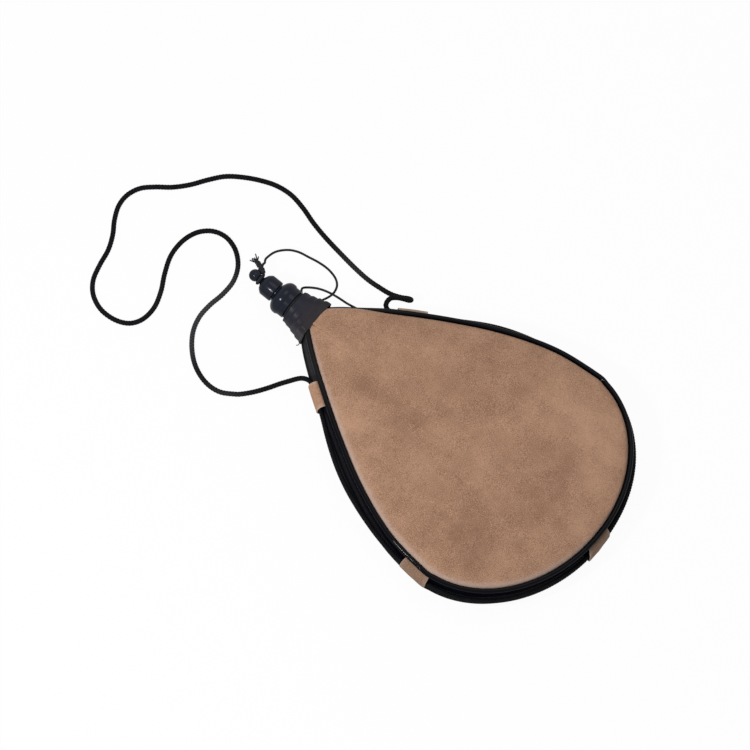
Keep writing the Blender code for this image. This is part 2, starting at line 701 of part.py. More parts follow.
def drinking_cap():
    """The small screw cap with a ball on a stem, where the tether is tied."""
    ceiling = CAP_TOP_Y - CAP_ROOF
    bore = NOZZLE_RADIUS + THREAD_CLEARANCE
    stem_reach = math.sqrt(BALL_RADIUS ** 2 - STEM_RADIUS ** 2)
    ball_angle = math.degrees(math.asin(stem_reach / BALL_RADIUS))
    profile = arc(0.0, BALL_Y, BALL_RADIUS, BALL_RADIUS, 90, -ball_angle, 11)
    profile[0] = (0.0, BALL_Y + BALL_RADIUS)
    profile += [(STEM_RADIUS, CAP_TOP_Y)]
    profile += [(STEM_RADIUS + (CAP_RADIUS - STEM_RADIUS) * out, CAP_TOP_Y - CAP_SHOULDER * back)
                for out, back in CAP_FRONT_SHARES]
    profile += [(CAP_RADIUS, CAP_Y + CAP_EDGE), (CAP_RADIUS - CAP_EDGE, CAP_Y),
                (bore, CAP_Y), (bore, ceiling), (0.0, ceiling)]
    return turned("drinking_cap", profile, moulded(), FINE_ROUND_STEPS)


def cap_liner():
    """The soft disc inside the drinking cap that shuts the jet."""
    top = CAP_TOP_Y - CAP_ROOF - GASKET_GAP
    low = top - LINER_WALL
    return turned("cap_liner", [(0.0, top), (NOZZLE_RADIUS, top), (NOZZLE_RADIUS, low), (0.0, low)],
                  seal_rubber(), FINE_ROUND_STEPS)


# Tether

def ring(name, radius, y, finish):
    """A ring of thin cord round the neck's axis."""
    bpy.ops.mesh.primitive_torus_add(major_radius=radius, minor_radius=TETHER_RADIUS,
                                     major_segments=FINE_ROUND_STEPS, minor_segments=6,
                                     location=(0.0, y, MID_Z), rotation=(math.pi / 2, 0.0, 0.0))
    made = bpy.context.object
    made.name = name
    for collection in list(made.users_collection):
        collection.objects.unlink(made)
    parts.objects.link(made)
    made.data.materials.append(finish)
    return made


def tether_tie():
    """The thin cord round the groove below the filler cap, with its tail down to the floor."""
    radius = SPIGOT_RADIUS + CLEARANCE + TETHER_RADIUS
    made = ring("tether_tie", radius, TETHER_Y, braid())
    top = MID_Z - radius
    floor_line = CAP_LINE_ROUTE[-1][2] + TETHER_RADIUS + CLEARANCE
    tail = tube("tether_tail", [(0.0, TETHER_Y, top), (0.0, TETHER_Y, floor_line)], TETHER_RADIUS, braid())
    join(made, as_mesh(tail))
    return made


def knot_middle():
    """The knot's place: beside the ball, clear of it."""
    beside = BALL_RADIUS + CLEARANCE + KNOT_RADIUS + TETHER_RADIUS
    return Vector((beside, BALL_Y + KNOT_RADIUS * 0.75, MID_Z))


def tether_knot():
    """The cord's end, looped round the ball's stem, knotted beside the ball and frayed."""
    radius = STEM_RADIUS + CLEARANCE + TETHER_RADIUS
    loop_y = CAP_TOP_Y + CLEARANCE + TETHER_RADIUS
    made = ring("tether_knot", radius, loop_y, braid())
    middle = knot_middle()
    lobe = Vector((middle.x - TETHER_RADIUS, middle.y - KNOT_RADIUS * 1.6, MID_Z))
    route = [Vector((radius, loop_y, MID_Z)),
             Vector((radius + KNOT_RADIUS * 0.7, loop_y + TETHER_RADIUS, MID_Z)),
             lobe - Vector((TETHER_RADIUS, TETHER_RADIUS * 1.5, 0.0)), lobe,
             (lobe + middle) / 2, middle,
             middle + Vector((TETHER_RADIUS, KNOT_RADIUS * 0.9, 0.0)),
             middle + Vector((TETHER_RADIUS * 1.5, KNOT_RADIUS * 1.5, 0.0)),
             middle + Vector((TETHER_RADIUS * 2.5, KNOT_RADIUS * 3.2, 0.0))]
    swell_shares = [1.0, 1.0, 2.0, 2.6, 2.2, 3.5, 1.7, 2.0, TASSEL_RADIUS / TETHER_RADIUS]
    knot = tube("tether_knot_end", route, TETHER_RADIUS, braid(), radii=swell_shares)
    join(made, as_mesh(knot))
    return made


def cap_line():
    """The free tether from the knot, down to the floor, round and under the collar."""
    middle = knot_middle()
    out = Vector((3.5 * TETHER_RADIUS + CLEARANCE, -TETHER_RADIUS, 0.0))
    first = middle + out
    points = [first, first + out.normalized() * 2 * TETHER_RADIUS] + CAP_LINE_ROUTE
    points += [Vector((TETHER_RADIUS, TETHER_Y, CAP_LINE_ROUTE[-1][2])),
               Vector((-TETHER_RADIUS, TETHER_Y, CAP_LINE_ROUTE[-1][2]))]
    return tube("tether_cap_line", evenly(smooth_curve(points), CAP_LINE_POINTS), TETHER_RADIUS, braid(),
                origin=(0.0, BALL_Y, MID_Z))


def bag_line():
    """The free tether from the groove to the seam beside the neck."""
    radius = SPIGOT_RADIUS + 2 * CLEARANCE + 2 * TETHER_RADIUS
    lean = math.radians(-16)
    side = Vector((math.cos(lean), 0.0, math.sin(lean)))
    axis_point = Vector((0.0, TETHER_Y, MID_Z))
    first = axis_point + side * radius
    face = BAND_FACE + BAND_BULGE + CLEARANCE
    last = edge.at(BAG_LINE_END_SHARE, face)
    before = edge.at(BAG_LINE_END_SHARE, face + 2 * TETHER_RADIUS)
    points = [first, first + side * TETHER_RADIUS * 1.5] + BAG_LINE_ROUTE + [before, last]
    return tube("tether_bag_line", evenly(smooth_curve(points), BAG_LINE_POINTS), TETHER_RADIUS, braid())


start()
edge = Edge()
panel("front_panel", 1, FRONT_CROWN, FRONT_RING_SHARES)
panel("back_panel", -1, BACK_CROWN, BACK_RING_SHARES)
side_band()
piping("front_piping", 1)
piping("back_piping", -1)
for loop_name, loop_share in LOOP_SHARES.items():
    strap_loop(loop_name, loop_share)
edge_cord()
strap_cord()
bladder()
collar()
spout()
binding()
filler_cap()
filler_gasket()
drinking_cap()
cap_liner()
tether_tie()
tether_knot()
cap_line()
bag_line()
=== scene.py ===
import math
import random

import bpy
import numpy as np
from mathutils import Matrix, Vector, noise


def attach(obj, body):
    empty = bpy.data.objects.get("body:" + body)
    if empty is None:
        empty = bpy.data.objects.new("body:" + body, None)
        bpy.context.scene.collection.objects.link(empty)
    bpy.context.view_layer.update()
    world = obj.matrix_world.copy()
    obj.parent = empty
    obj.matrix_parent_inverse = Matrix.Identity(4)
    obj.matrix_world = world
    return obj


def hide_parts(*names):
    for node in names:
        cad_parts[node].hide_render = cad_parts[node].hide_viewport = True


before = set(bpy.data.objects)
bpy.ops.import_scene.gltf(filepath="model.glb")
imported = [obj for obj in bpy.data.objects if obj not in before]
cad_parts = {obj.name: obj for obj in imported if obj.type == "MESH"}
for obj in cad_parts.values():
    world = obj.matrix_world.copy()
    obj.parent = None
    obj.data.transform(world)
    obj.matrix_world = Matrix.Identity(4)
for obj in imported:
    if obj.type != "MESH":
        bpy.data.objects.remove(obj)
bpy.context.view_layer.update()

# Camera
# The photograph looks steeply down on the bag from beside its length, with a long lens, so the
# camera is parallel. The neck points to the upper left of the picture.
PICTURE_WIDTH = 0.5160
CAMERA_DISTANCE = 1.5
CAMERA_REACH = 20.0
toward_camera = Vector((-0.386, -0.128, 0.914)).normalized()
picture_right = Vector((0.6863, 0.6191, 0.3776)).cross(toward_camera).normalized()
picture_up = toward_camera.cross(picture_right)
picture_centre = Vector((-0.00933, 0.04044, 0.03153))
camera_data = bpy.data.cameras.new("camera")
camera_data.type = "ORTHO"
camera_data.ortho_scale = PICTURE_WIDTH
camera_data.clip_end = CAMERA_REACH
camera = bpy.data.objects.new("camera", camera_data)
bpy.context.scene.collection.objects.link(camera)
turned_to_view = Matrix((picture_right, picture_up, toward_camera)).transposed().to_4x4()
camera.matrix_world = Matrix.Translation(picture_centre + toward_camera * CAMERA_DISTANCE) @ turned_to_view
bpy.context.scene.camera = camera


# Seam line
# The line where the side band meets both suede panels, seen from above. The band, the pipings,
# the loops and the edge cord all lie beside it, so it is drawn once and read by all of them.
MID_Z = 0.0145
WIDEST_Y = -0.072975
MOUTH_Y = 0.098025
BAG_HALF_WIDTH = 0.0952
BOTTOM_DEPTH = 0.0733
FLANK_LENGTH = 0.1710
MOUTH_HALF_WIDTH = 0.0080
TUCK_STEP = Vector((-0.0005, 0.0025))
# Flank: share of the way from the widest line to the mouth, and share of the width that is left
FLANK_SHARES = [(0.19, 0.946), (0.40, 0.788), (0.61, 0.556), (0.82, 0.282), (0.93, 0.121)]
BOTTOM_STEPS = 12
SEAM_HALF_HEIGHT = 0.0095
TUCK_DROP = 0.0015
EASE_START = 0.014
EASE_LENGTH = 0.019


def smooth_curve(points, per_span=24):
    """Dense points of a smooth curve through the given points."""
    given = [np.array(p, dtype=float) for p in points]
    ends = [2 * given[0] - given[1]] + given + [2 * given[-1] - given[-2]]
    dense = []
    for a, b, c, d in zip(ends, ends[1:], ends[2:], ends[3:]):
        for step in range(per_span):
            t = step / per_span
            dense.append(0.5 * (2 * b + (c - a) * t + (2 * a - 5 * b + 4 * c - d) * t * t
                                + (3 * b - a - 3 * c + d) * t ** 3))
    dense.append(given[-1])
    return np.array(dense)


def eased(value):
    """0 below 0, 1 above 1, and soft between."""
    held = min(max(value, 0.0), 1.0)
    return held * held * (3 - 2 * held)


class Line:
    """A dense line that is read at any share of its length."""

    def __init__(self, dense):
        self.points = np.array(dense)
        steps = np.linalg.norm(np.diff(self.points, axis=0), axis=1)
        self.along = np.concatenate([[0.0], np.cumsum(steps)])
        self.length = float(self.along[-1])

    def at(self, share):
        wanted = min(max(share, 0.0), 1.0) * self.length
        return Vector([float(np.interp(wanted, self.along, self.points[:, axis]))
                       for axis in range(self.points.shape[1])])

    def heading(self, share, reach=0.0025):
        step = reach / self.length
        return (self.at(share + step) - self.at(share - step)).normalized()

    def evenly(self, count):
        return [self.at(step / count) for step in range(count + 1)]


half_outline = [(BAG_HALF_WIDTH * math.sin(a), WIDEST_Y - BOTTOM_DEPTH * math.cos(a))
                for a in np.linspace(0.0, math.pi / 2, BOTTOM_STEPS + 1)]
for along, left in FLANK_SHARES:
    half_outline.append((MOUTH_HALF_WIDTH + (BAG_HALF_WIDTH - MOUTH_HALF_WIDTH) * left,
                         WIDEST_Y + FLANK_LENGTH * along))
half_outline.append((MOUTH_HALF_WIDTH, MOUTH_Y))
mouth_corner = Vector((MOUTH_HALF_WIDTH, MOUTH_Y))
right_side = [tuple(p) for p in smooth_curve(half_outline)]
right_side += [tuple(mouth_corner + TUCK_STEP), tuple(mouth_corner + 2 * TUCK_STEP)]
seam = Line([(-x, y) for x, y in reversed(right_side[1:])] + right_side)


def beside_seam(share, offset, rise=0.0):
    """A point beside the seam line: offset outwards, rise from the bag's mid height."""
    flat = seam.at(share)
    heading = seam.heading(share)
    return Vector((flat.x + heading.y * offset, flat.y - heading.x * offset, MID_Z + rise))


def seam_half_height(y):
    """Half the height between the two seams, drawn together inside the collar."""
    return SEAM_HALF_HEIGHT - TUCK_DROP * eased((y - (MOUTH_Y - EASE_START)) / EASE_LENGTH)


# Cords
# One black braided cord, 3.5 mm thick, runs round the edge through five suede loops. It leaves
# the two upper ones as the shoulder strap, which lies on the ground behind the neck in an S.
class Value:
    """A node socket that takes plain arithmetic and adds the maths nodes for it."""

    def __init__(self, sheet, socket):
        self.sheet = sheet
        self.socket = socket

    def maths(self, operation, *values):
        return self.sheet.node("ShaderNodeMath", {"operation": operation},
                               dict(enumerate(values)))

    def __add__(self, other):
        return self.maths("ADD", self, other)

    def __sub__(self, other):
        return self.maths("SUBTRACT", self, other)

    def __rsub__(self, other):
        return self.maths("SUBTRACT", other, self)

    def __mul__(self, other):
        return self.maths("MULTIPLY", self, other)

    __radd__ = __add__
    __rmul__ = __mul__

    def floor(self):
        return self.maths("FLOOR", self)

    def part(self):
        """What is left above the whole number."""
        return self.maths("FRACT", self)

    def sine(self):
        return self.maths("SINE", self)

    def or_more(self, other):
        return self.maths("MAXIMUM", self, other)

    def clipped(self):
        return self.maths("MINIMUM", self.or_more(0.0), 1.0)

    def between(self, low, high):
        """0 below low, 1 above high, and soft between."""
        return self.sheet.node("ShaderNodeMapRange", {"interpolation_type": "SMOOTHSTEP"},
                               {"Value": self, "From Min": low, "From Max": high})


class Sheet:
    """A tree of nodes that is filled in by one method."""

    def __init__(self, tree):
        self.tree = tree

    def node(self, kind, settings, values, output=0):
        """Adds a node, sets it up, feeds its sockets and gives one of its outputs."""
        made = self.tree.nodes.new(kind)
        for key, value in settings.items():
            setattr(made, key, value)
        for key, value in values.items():
            self.feed(made.inputs[key], value)
        return Value(self, made.outputs[output])

    def feed(self, socket, value):
        if isinstance(value, Value):
            self.tree.links.new(value.socket, socket)
        elif isinstance(value, tuple) and socket.type == "RGBA":
            socket.default_value = (*value, 1.0)
        else:
            socket.default_value = value


class Finish(Sheet):
    """A material with one Principled shader."""

    def __init__(self, name, **settings):
        self.material = bpy.data.materials.new(name)
        self.material.use_nodes = True
        super().__init__(self.material.node_tree)
        self.shader = self.tree.nodes["Principled BSDF"]
        for socket, value in settings.items():
            self.give(socket.replace("_", " "), value)

    def give(self, name, value):
        self.feed(self.shader.inputs[name], value)

    def place(self):
        return self.node("ShaderNodeTexCoord", {}, {}, "Object")

    def axis(self, place, letter):
        """One coordinate of a place."""
        return self.node("ShaderNodeSeparateXYZ", {}, {0: place}, letter)

    def own_uv(self, letter):
        return self.axis(self.node("ShaderNodeTexCoord", {}, {}, "UV"), letter)

    def mark(self, name):
        return self.node("ShaderNodeAttribute", {"attribute_name": name}, {}, "Fac")

    def cloud(self, scale, detail=3.0, roughness=0.55, seed=0.0):
        """Soft noise from 0 to 1 at a number of lumps per metre."""
        return self.node("ShaderNodeTexNoise", {"noise_dimensions": "4D"},
                         {"Vector": self.place(), "W": seed, "Scale": scale, "Detail": detail,
                          "Roughness": roughness})

    def mix(self, share, low, high):
        """A colour between two colours."""
        return self.node("ShaderNodeMix", {"data_type": "RGBA"}, {0: share, 6: low, 7: high}, 2)

    def bump(self, height, distance, strength=1.0):
        return self.node("ShaderNodeBump", {},
                         {"Height": height, "Distance": distance, "Strength": strength})


BRAID_STRANDS = 4
YARNS_IN_STRAND = 3
YARN_RELIEF = 0.14
STRAND_EDGE = 0.55
STRAND_CROWN = 0.45
CORD_DEEP = (0.0020, 0.0021, 0.0027)
CORD_LIT_AND_WORN = (0.0130, 0.0135, 0.0160)
CORD_FADED = (0.0800, 0.0820, 0.0860)
CORD_BUMP = 0.00016


def braid_finish(name, low, high, depth):
    """Black braid: strands of three yarns each that pass over and under one another, crowns painted lighter
    as a highlight.
    """
    finish = Finish(name, Roughness=0.70, Specular_IOR_Level=0.05)
    around = finish.own_uv("X") * BRAID_STRANDS
    along = finish.own_uv("Y")
    left = around + along
    right = around - along
    over = ((left.floor() + right.floor()) * 0.5).part() * 2.0
    left_round = (left.part() * math.pi).sine()
    right_round = (right.part() * math.pi).sine()
    left_yarn = (left * (YARNS_IN_STRAND * 2 * math.pi)).sine() * YARN_RELIEF
    right_yarn = (right * (YARNS_IN_STRAND * 2 * math.pi)).sine() * YARN_RELIEF
    one = left_round * (STRAND_EDGE + STRAND_CROWN * right_round) + right_yarn
    other = right_round * (STRAND_EDGE + STRAND_CROWN * left_round) + left_yarn
    height = one * over + other * (1.0 - over)
    worn = finish.cloud(240.0)
    # Lighter on the strand crowns: a painted highlight, mixed with random wear.
    colour = finish.mix((height * 0.7 + (worn - 0.5) * 0.9).clipped(), low, high)
    faded = (finish.mark("faded") * (0.25 + height * 0.9)).clipped()
    finish.give("Base Color", finish.mix(faded, colour, CORD_FADED))
    finish.give("Normal", finish.bump(height, depth, 0.8))
    return finish.material


cord_braid = braid_finish("black_braid", CORD_DEEP, CORD_LIT_AND_WORN, CORD_BUMP)


def braid_height(around, along):
    """The braid's height from 0 to 1, as its finish has it."""
    left = BRAID_STRANDS * around + along
    right = BRAID_STRANDS * around - along
    left_round = math.sin(math.pi * (left % 1.0))
    right_round = math.sin(math.pi * (right % 1.0))
    if (math.floor(left) + math.floor(right)) % 2:
        return left_round * (STRAND_EDGE + STRAND_CROWN * right_round)
    return right_round * (STRAND_EDGE + STRAND_CROWN * left_round)


# How near two points of a closed grid count as one, and the braid's height at a cord's plain radius
SAME_PLACE = 0.000004
PLAIN_LEVEL = 0.6


def deselect():
    if bpy.context.object and bpy.context.object.mode != "OBJECT":
        bpy.ops.object.mode_set(mode="OBJECT")
    bpy.ops.object.select_all(action="DESELECT")


def laid(name, across, along, place, finish, closed=False, pattern=(1.0, 1.0), marks=None):
    """A flat grid of quads laid into its shape point by point; closed joins its two long sides."""
    deselect()
    bpy.ops.mesh.primitive_grid_add(x_subdivisions=across, y_subdivisions=along, size=1.0,
                                    calc_uvs=True)
    piece = bpy.context.object
    piece.name = name
    piece.data.name = name
    flat = [(round(v.co.x + 0.5, 6), round(v.co.y + 0.5, 6)) for v in piece.data.vertices]
    for vert, (u, v) in zip(piece.data.vertices, flat):
        vert.co = place(u, v)
    for loop in piece.data.uv_layers[0].data:
        loop.uv = (loop.uv[0] * pattern[0], loop.uv[1] * pattern[1])
    for mark, strength in (marks or {}).items():
        layer = piece.data.attributes.new(mark, "FLOAT", "POINT")
        for index, (u, v) in enumerate(flat):
            layer.data[index].value = strength(u, v)
    if closed:
        bpy.ops.object.mode_set(mode="EDIT")
        bpy.ops.mesh.select_all(action="SELECT")
        bpy.ops.mesh.remove_doubles(threshold=SAME_PLACE)
        bpy.ops.mesh.normals_make_consistent(inside=False)
        bpy.ops.object.mode_set(mode="OBJECT")
    bpy.ops.object.shade_smooth()
    piece.data.materials.append(finish)
    return piece


def cord_piece(name, line, radius, finish, step, pitch, sides=20, relief=0.0, thickness=None, marks=None):
    """A round cord along a line, with closed ends and a braid of a given pitch along it."""
    count = max(int(line.length / step), 8)
    places = line.evenly(count)
    headings = [line.heading(i / count, step) for i in range(count + 1)]
    first = headings[0].cross(Vector((0.0, 0.0, 1.0)))
    if first.length < 0.1:
        first = headings[0].cross(Vector((1.0, 0.0, 0.0)))
    sideways = [first.normalized()]
    for before, after in zip(headings, headings[1:]):
        turned = before.rotation_difference(after) @ sideways[-1]
        sideways.append((turned - after * turned.dot(after)).normalized())
    repeats = line.length / pitch

    def place(u, v):
        index = min(int(round(v * count)), count)
        angle = 2 * math.pi * u
        side, up = sideways[index], headings[index].cross(sideways[index])
        wide = radius * (thickness(v) if thickness else 1.0)
        wide *= 1.0 + relief * (braid_height(u, v * repeats) - PLAIN_LEVEL)
        if index in (0, count):
            wide = 0.0
        spot = places[index] + (side * math.cos(angle) + up * math.sin(angle)) * wide
        spot.z = max(spot.z, 0.0)
        return spot

    return laid(name, sides, count, place, finish, closed=True, pattern=(1.0, repeats), marks=marks)


CORD_RADIUS = 0.00175
CORD_OFFSET = 0.0057
CORD_PITCH = 0.0021
CORD_STEP = 0.00042
CORD_RELIEF = 0.16
LOOP_SHARES = [0.0828, 0.295, 0.506, 0.712, 0.899]
LOOP_LENGTH = 0.0205
LOOP_MOUTH = 0.0025
loop_reach = LOOP_LENGTH / 2 / seam.length
loop_mouth = LOOP_MOUTH / seam.length
cord_low = LOOP_SHARES[0] - loop_reach + loop_mouth
cord_high = LOOP_SHARES[-1] + loop_reach - loop_mouth
strap_route = [
    (-0.0363, 0.0733, 0.0148), (-0.0368, 0.0765, 0.0149), (-0.0382, 0.0795, 0.0140),
    (-0.0403, 0.0822, 0.0119), (-0.0431, 0.0853, 0.0084), (-0.0472, 0.0892, 0.0047),
    (-0.0547, 0.0941, 0.0022), (-0.0625, 0.0990, 0.0018), (-0.0696, 0.1044, 0.0018),
    (-0.0735, 0.1085, 0.0018), (-0.0793, 0.1177, 0.0018), (-0.0801, 0.1290, 0.0018),
    (-0.0758, 0.1410, 0.0018), (-0.0675, 0.1511, 0.0018), (-0.0566, 0.1588, 0.0018),
    (-0.0450, 0.1624, 0.0018), (-0.0330, 0.1625, 0.0018), (-0.0211, 0.1609, 0.0018),
    (-0.0087, 0.1613, 0.0018), (0.0023, 0.1657, 0.0018), (0.0103, 0.1738, 0.0018),
    (0.0138, 0.1832, 0.0018), (0.0130, 0.1914, 0.0018), (0.0088, 0.1983, 0.0018),
    (0.0012, 0.2037, 0.0018), (-0.0098, 0.2064, 0.0018), (-0.0228, 0.2055, 0.0018),
    (-0.0360, 0.2004, 0.0018), (-0.0480, 0.1942, 0.0018), (-0.0605, 0.1902, 0.0018),
    (-0.0725, 0.1907, 0.0018), (-0.0813, 0.1957, 0.0018), (-0.0861, 0.2050, 0.0018),
    (-0.0866, 0.2167, 0.0018), (-0.0819, 0.2273, 0.0018), (-0.0732, 0.2344, 0.0018),
    (-0.0612, 0.2381, 0.0018), (-0.0487, 0.2406, 0.0018), (-0.0378, 0.2452, 0.0018),
    (-0.0279, 0.2514, 0.0018), (-0.0177, 0.2557, 0.0018), (-0.0075, 0.2562, 0.0018),
    (0.0023, 0.2526, 0.0018), (0.0103, 0.2453, 0.0018), (0.0181, 0.2364, 0.0018),
    (0.0278, 0.2284, 0.0018), (0.0390, 0.2214, 0.0018), (0.0487, 0.2143, 0.0018),
    (0.0560, 0.2056, 0.0018), (0.0627, 0.1947, 0.0018), (0.0675, 0.1832, 0.0018),
    (0.0690, 0.1712, 0.0018), (0.0669, 0.1592, 0.0018), (0.0631, 0.1470, 0.0018),
    (0.0603, 0.1345, 0.0018), (0.0581, 0.1200, 0.0018), (0.0563, 0.1056, 0.0018),
    (0.0555, 0.0930, 0.0018), (0.0562, 0.0834, 0.0018), (0.0576, 0.0742, 0.0018),
    (0.0604, 0.0672, 0.0020), (0.0622, 0.0626, 0.0042), (0.0610, 0.0598, 0.0086),
    (0.0580, 0.0600, 0.0127), (0.0552, 0.0634, 0.0150), (0.0527, 0.0670, 0.0157),
    (0.0495, 0.0700, 0.0156), (0.0460, 0.0704, 0.0152), (0.0431, 0.0691, 0.0149),
    (0.0418, 0.0662, 0.0146), (0.0426, 0.0631, 0.0145),
]
strap_ends = [[beside_seam(cord_low, CORD_OFFSET), beside_seam(cord_low - loop_mouth, CORD_OFFSET)],
              [beside_seam(cord_high + loop_mouth, CORD_OFFSET), beside_seam(cord_high, CORD_OFFSET)]]
strap_line = Line(smooth_curve(strap_ends[0] + strap_route + strap_ends[1], per_span=10))
# Stretches that rubbing has faded: the place in the middle, its reach and its strength
FADED_PLACES = [(-0.066, 0.152, 0.012, 0.45), (-0.040, 0.163, 0.020, 0.75), (-0.012, 0.161, 0.012, 0.45),
                (-0.078, 0.112, 0.014, 0.30), (0.0555, 0.104, 0.018, 0.35)]


def faded_mark(u, v):
    here = strap_line.at(v)
    return sum(strength * math.exp(-(math.hypot(here.x - x, here.y - y) / reach) ** 2)
               for x, y, reach, strength in FADED_PLACES)


strap = cord_piece("shoulder_cord", strap_line, CORD_RADIUS, cord_braid, CORD_STEP, CORD_PITCH,
                   relief=CORD_RELIEF, marks={"faded": faded_mark})
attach(strap, "bag")
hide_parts("strap_cord")
[tuple(p) for p in strap_line.evenly(400)]

# Between two loops the cord stands off by the slack; a lean under 1 moves the fullest place back
SPAN_SLACKS = [0.0030, 0.00034, 0.00034, 0.0028]
SLACK_LEANS = [0.72, 1.0, 1.0, 1.0]
CORD_DRAWN_IN = 0.00045
LOW_LEFT_LIFT = 0.0011
LOW_LEFT_REACH = 0.035
LOW_RIGHT_SAG = 0.0013
LOW_RIGHT_REACH = 0.105
RIGHT_START = 0.45
RIGHT_EASE = 0.08
UPPER_RIGHT_EASE = 0.05
EDGE_CORD_POINTS = 360


def cord_slack(share):
    """How far the cord stands off the band between two loops."""
    for index, slack in enumerate(SPAN_SLACKS):
        low, high = LOOP_SHARES[index] + loop_reach, LOOP_SHARES[index + 1] - loop_reach
        if low < share < high:
            along = ((share - low) / (high - low)) ** SLACK_LEANS[index]
            return slack * math.sin(math.pi * along) ** 2
    return 0.0


def edge_place(share):
    """The cord's middle: drawn in and lifted at the lower left loop, drawn in and sagging on the right."""
    by_low_left = math.exp(-((share - LOOP_SHARES[1]) / LOW_LEFT_REACH) ** 2)
    by_low_right = math.exp(-((share - LOOP_SHARES[3]) / LOW_RIGHT_REACH) ** 2)
    on_right = (eased((share - RIGHT_START) / RIGHT_EASE)
                * eased((cord_high - loop_reach * 2 - share) / UPPER_RIGHT_EASE))
    drawn = CORD_DRAWN_IN * max(by_low_left, on_right)
    return beside_seam(share, CORD_OFFSET + cord_slack(share) - drawn,
                       LOW_LEFT_LIFT * by_low_left - LOW_RIGHT_SAG * by_low_right)


edge_line = Line([edge_place(share) for share in np.linspace(cord_low, cord_high, EDGE_CORD_POINTS)])
edge_cord = cord_piece("edge_cord_braid", edge_line, CORD_RADIUS, cord_braid, CORD_STEP, CORD_PITCH,
                       relief=CORD_RELIEF)
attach(edge_cord, "bag")
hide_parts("edge_cord")


# Tether
# A thin braided cord keeps the drinking cap on the bag. Its frayed end is knotted beside the
# ball, its middle is tied round the groove under the filler cap, and its tail is sewn into the seam.
TETHER_RADIUS = 0.00068
TETHER_FULL_RADIUS = 0.00082
TETHER_CLEARANCE = 0.0003
TETHER_STAND_OFF = 0.00098
TETHER_PITCH = 0.0009
TETHER_STEP = 0.0006
TETHER_DEEP = (0.0120, 0.0122, 0.0145)
# The lighter colour is a painted highlight on the strand crowns, mixed with wear.
TETHER_LIT_AND_WORN = (0.0480, 0.0485, 0.0530)
TETHER_BUMP = 0.00005
thin_braid = braid_finish("thin_black_braid", TETHER_DEEP, TETHER_LIT_AND_WORN, TETHER_BUMP)
BALL_Y = 0.151025
CAP_TOP_Y = 0.145525
TETHER_Y = 0.117325
KNOT_RADIUS = 0.0024
knot_at = Vector((0.00768, BALL_Y + 0.75 * KNOT_RADIUS, MID_Z))
line_out = Vector((3.5 * TETHER_RADIUS + TETHER_CLEARANCE, -TETHER_RADIUS, 0.0))
line_start = knot_at + line_out
cap_route = [
    (0.0155, 0.1533, 0.0137), (0.0246, 0.1518, 0.0112), (0.0326, 0.1468, 0.0082),
    (0.0377, 0.1407, 0.0052), (0.0405, 0.1335, 0.0028), (0.0428, 0.1255, 0.0013),
    (0.0434, 0.1175, 0.00075), (0.0417, 0.1104, 0.00075), (0.0384, 0.1061, 0.00075),
    (0.0338, 0.1043, 0.00075), (0.0287, 0.1045, 0.00075), (0.0232, 0.1065, 0.00075),
    (0.0172, 0.1094, 0.00075), (0.0112, 0.1129, 0.00075), (0.0058, 0.1154, 0.00075),
    (TETHER_RADIUS, TETHER_Y, 0.00075), (-TETHER_RADIUS, TETHER_Y, 0.00075),
]
cap_points = [line_start, line_start + line_out.normalized() * 2 * TETHER_RADIUS] + cap_route
cap_curve = Line(smooth_curve(cap_points, per_span=12)[::-1])
cap_line = cord_piece("tether_to_knot", cap_curve, TETHER_FULL_RADIUS, thin_braid, TETHER_STEP,
                      TETHER_PITCH, sides=12)

GROOVE_LEAN = math.radians(-16)
TIE_RADIUS = 0.00988
bag_side = Vector((math.cos(GROOVE_LEAN), 0.0, math.sin(GROOVE_LEAN)))
bag_start = Vector((0.0, TETHER_Y, MID_Z)) + bag_side * (TIE_RADIUS + TETHER_STAND_OFF)
bag_route = [
    (0.0133, 0.1197, 0.0106), (0.0166, 0.1212, 0.0099), (0.0205, 0.1178, 0.0095),
    (0.0243, 0.1122, 0.0092), (0.0267, 0.1055, 0.0092), (0.0277, 0.0980, 0.0100),
    (0.0277, 0.0905, 0.0118),
]
SEAM_END_SHARE = 0.955
SEAM_END_OFFSET = 0.00375
bag_points = [bag_start, bag_start + bag_side * TETHER_RADIUS * 1.5] + bag_route
bag_points += [beside_seam(SEAM_END_SHARE, SEAM_END_OFFSET + 2 * TETHER_RADIUS),
               beside_seam(SEAM_END_SHARE, SEAM_END_OFFSET)]
bag_curve = Line(smooth_curve(bag_points, per_span=12))
bag_line = cord_piece("tether_to_seam", bag_curve, TETHER_FULL_RADIUS, thin_braid, TETHER_STEP,
                      TETHER_PITCH, sides=12)

KNOT_CORD_RADIUS = 0.00105
KNOT_SIZE = 0.00068
KNOT_GAP = 0.25
STEM_LOOP_RADIUS = 0.00110
STEM_HITCH_RADIUS = 0.00205
TUFT_BODY_RADIUS = 0.0019
STRAND_RADIUS = 0.00060
# Frayed strands: the way each one leans in degrees, and how far it reaches
TUFT_STRANDS = [(113, 0.0060), (100, 0.0050), (88, 0.0053), (72, 0.0046), (56, 0.0063), (31, 0.0051)]
# Whipping: its turns, its rise per radian, how far below the tuft it starts, and its radii
WHIP_TURNS = 3
WHIP_RISE = 0.00024
WHIP_START = 0.0036
WHIP_RADIUS = 0.00150
WHIP_CORD_RADIUS = 0.00060


def knotted(turn, size):
    """A point of an overhand knot drawn tight."""
    swell = 1.35 + 0.75 * math.cos(3 * turn)
    return Vector((swell * math.cos(2 * turn), swell * math.sin(2 * turn), 1.1 * math.sin(3 * turn))) * size


def knot_part(name, points, radius, step=0.0005, sides=12, thickness=None):
    return cord_piece(name, Line(points), radius, thin_braid, step, TETHER_PITCH, sides=sides,
                      thickness=thickness)


def tapering(loss):
    """A thickness that falls evenly by a share from one end to the other."""
    return lambda v: 1.0 - loss * v


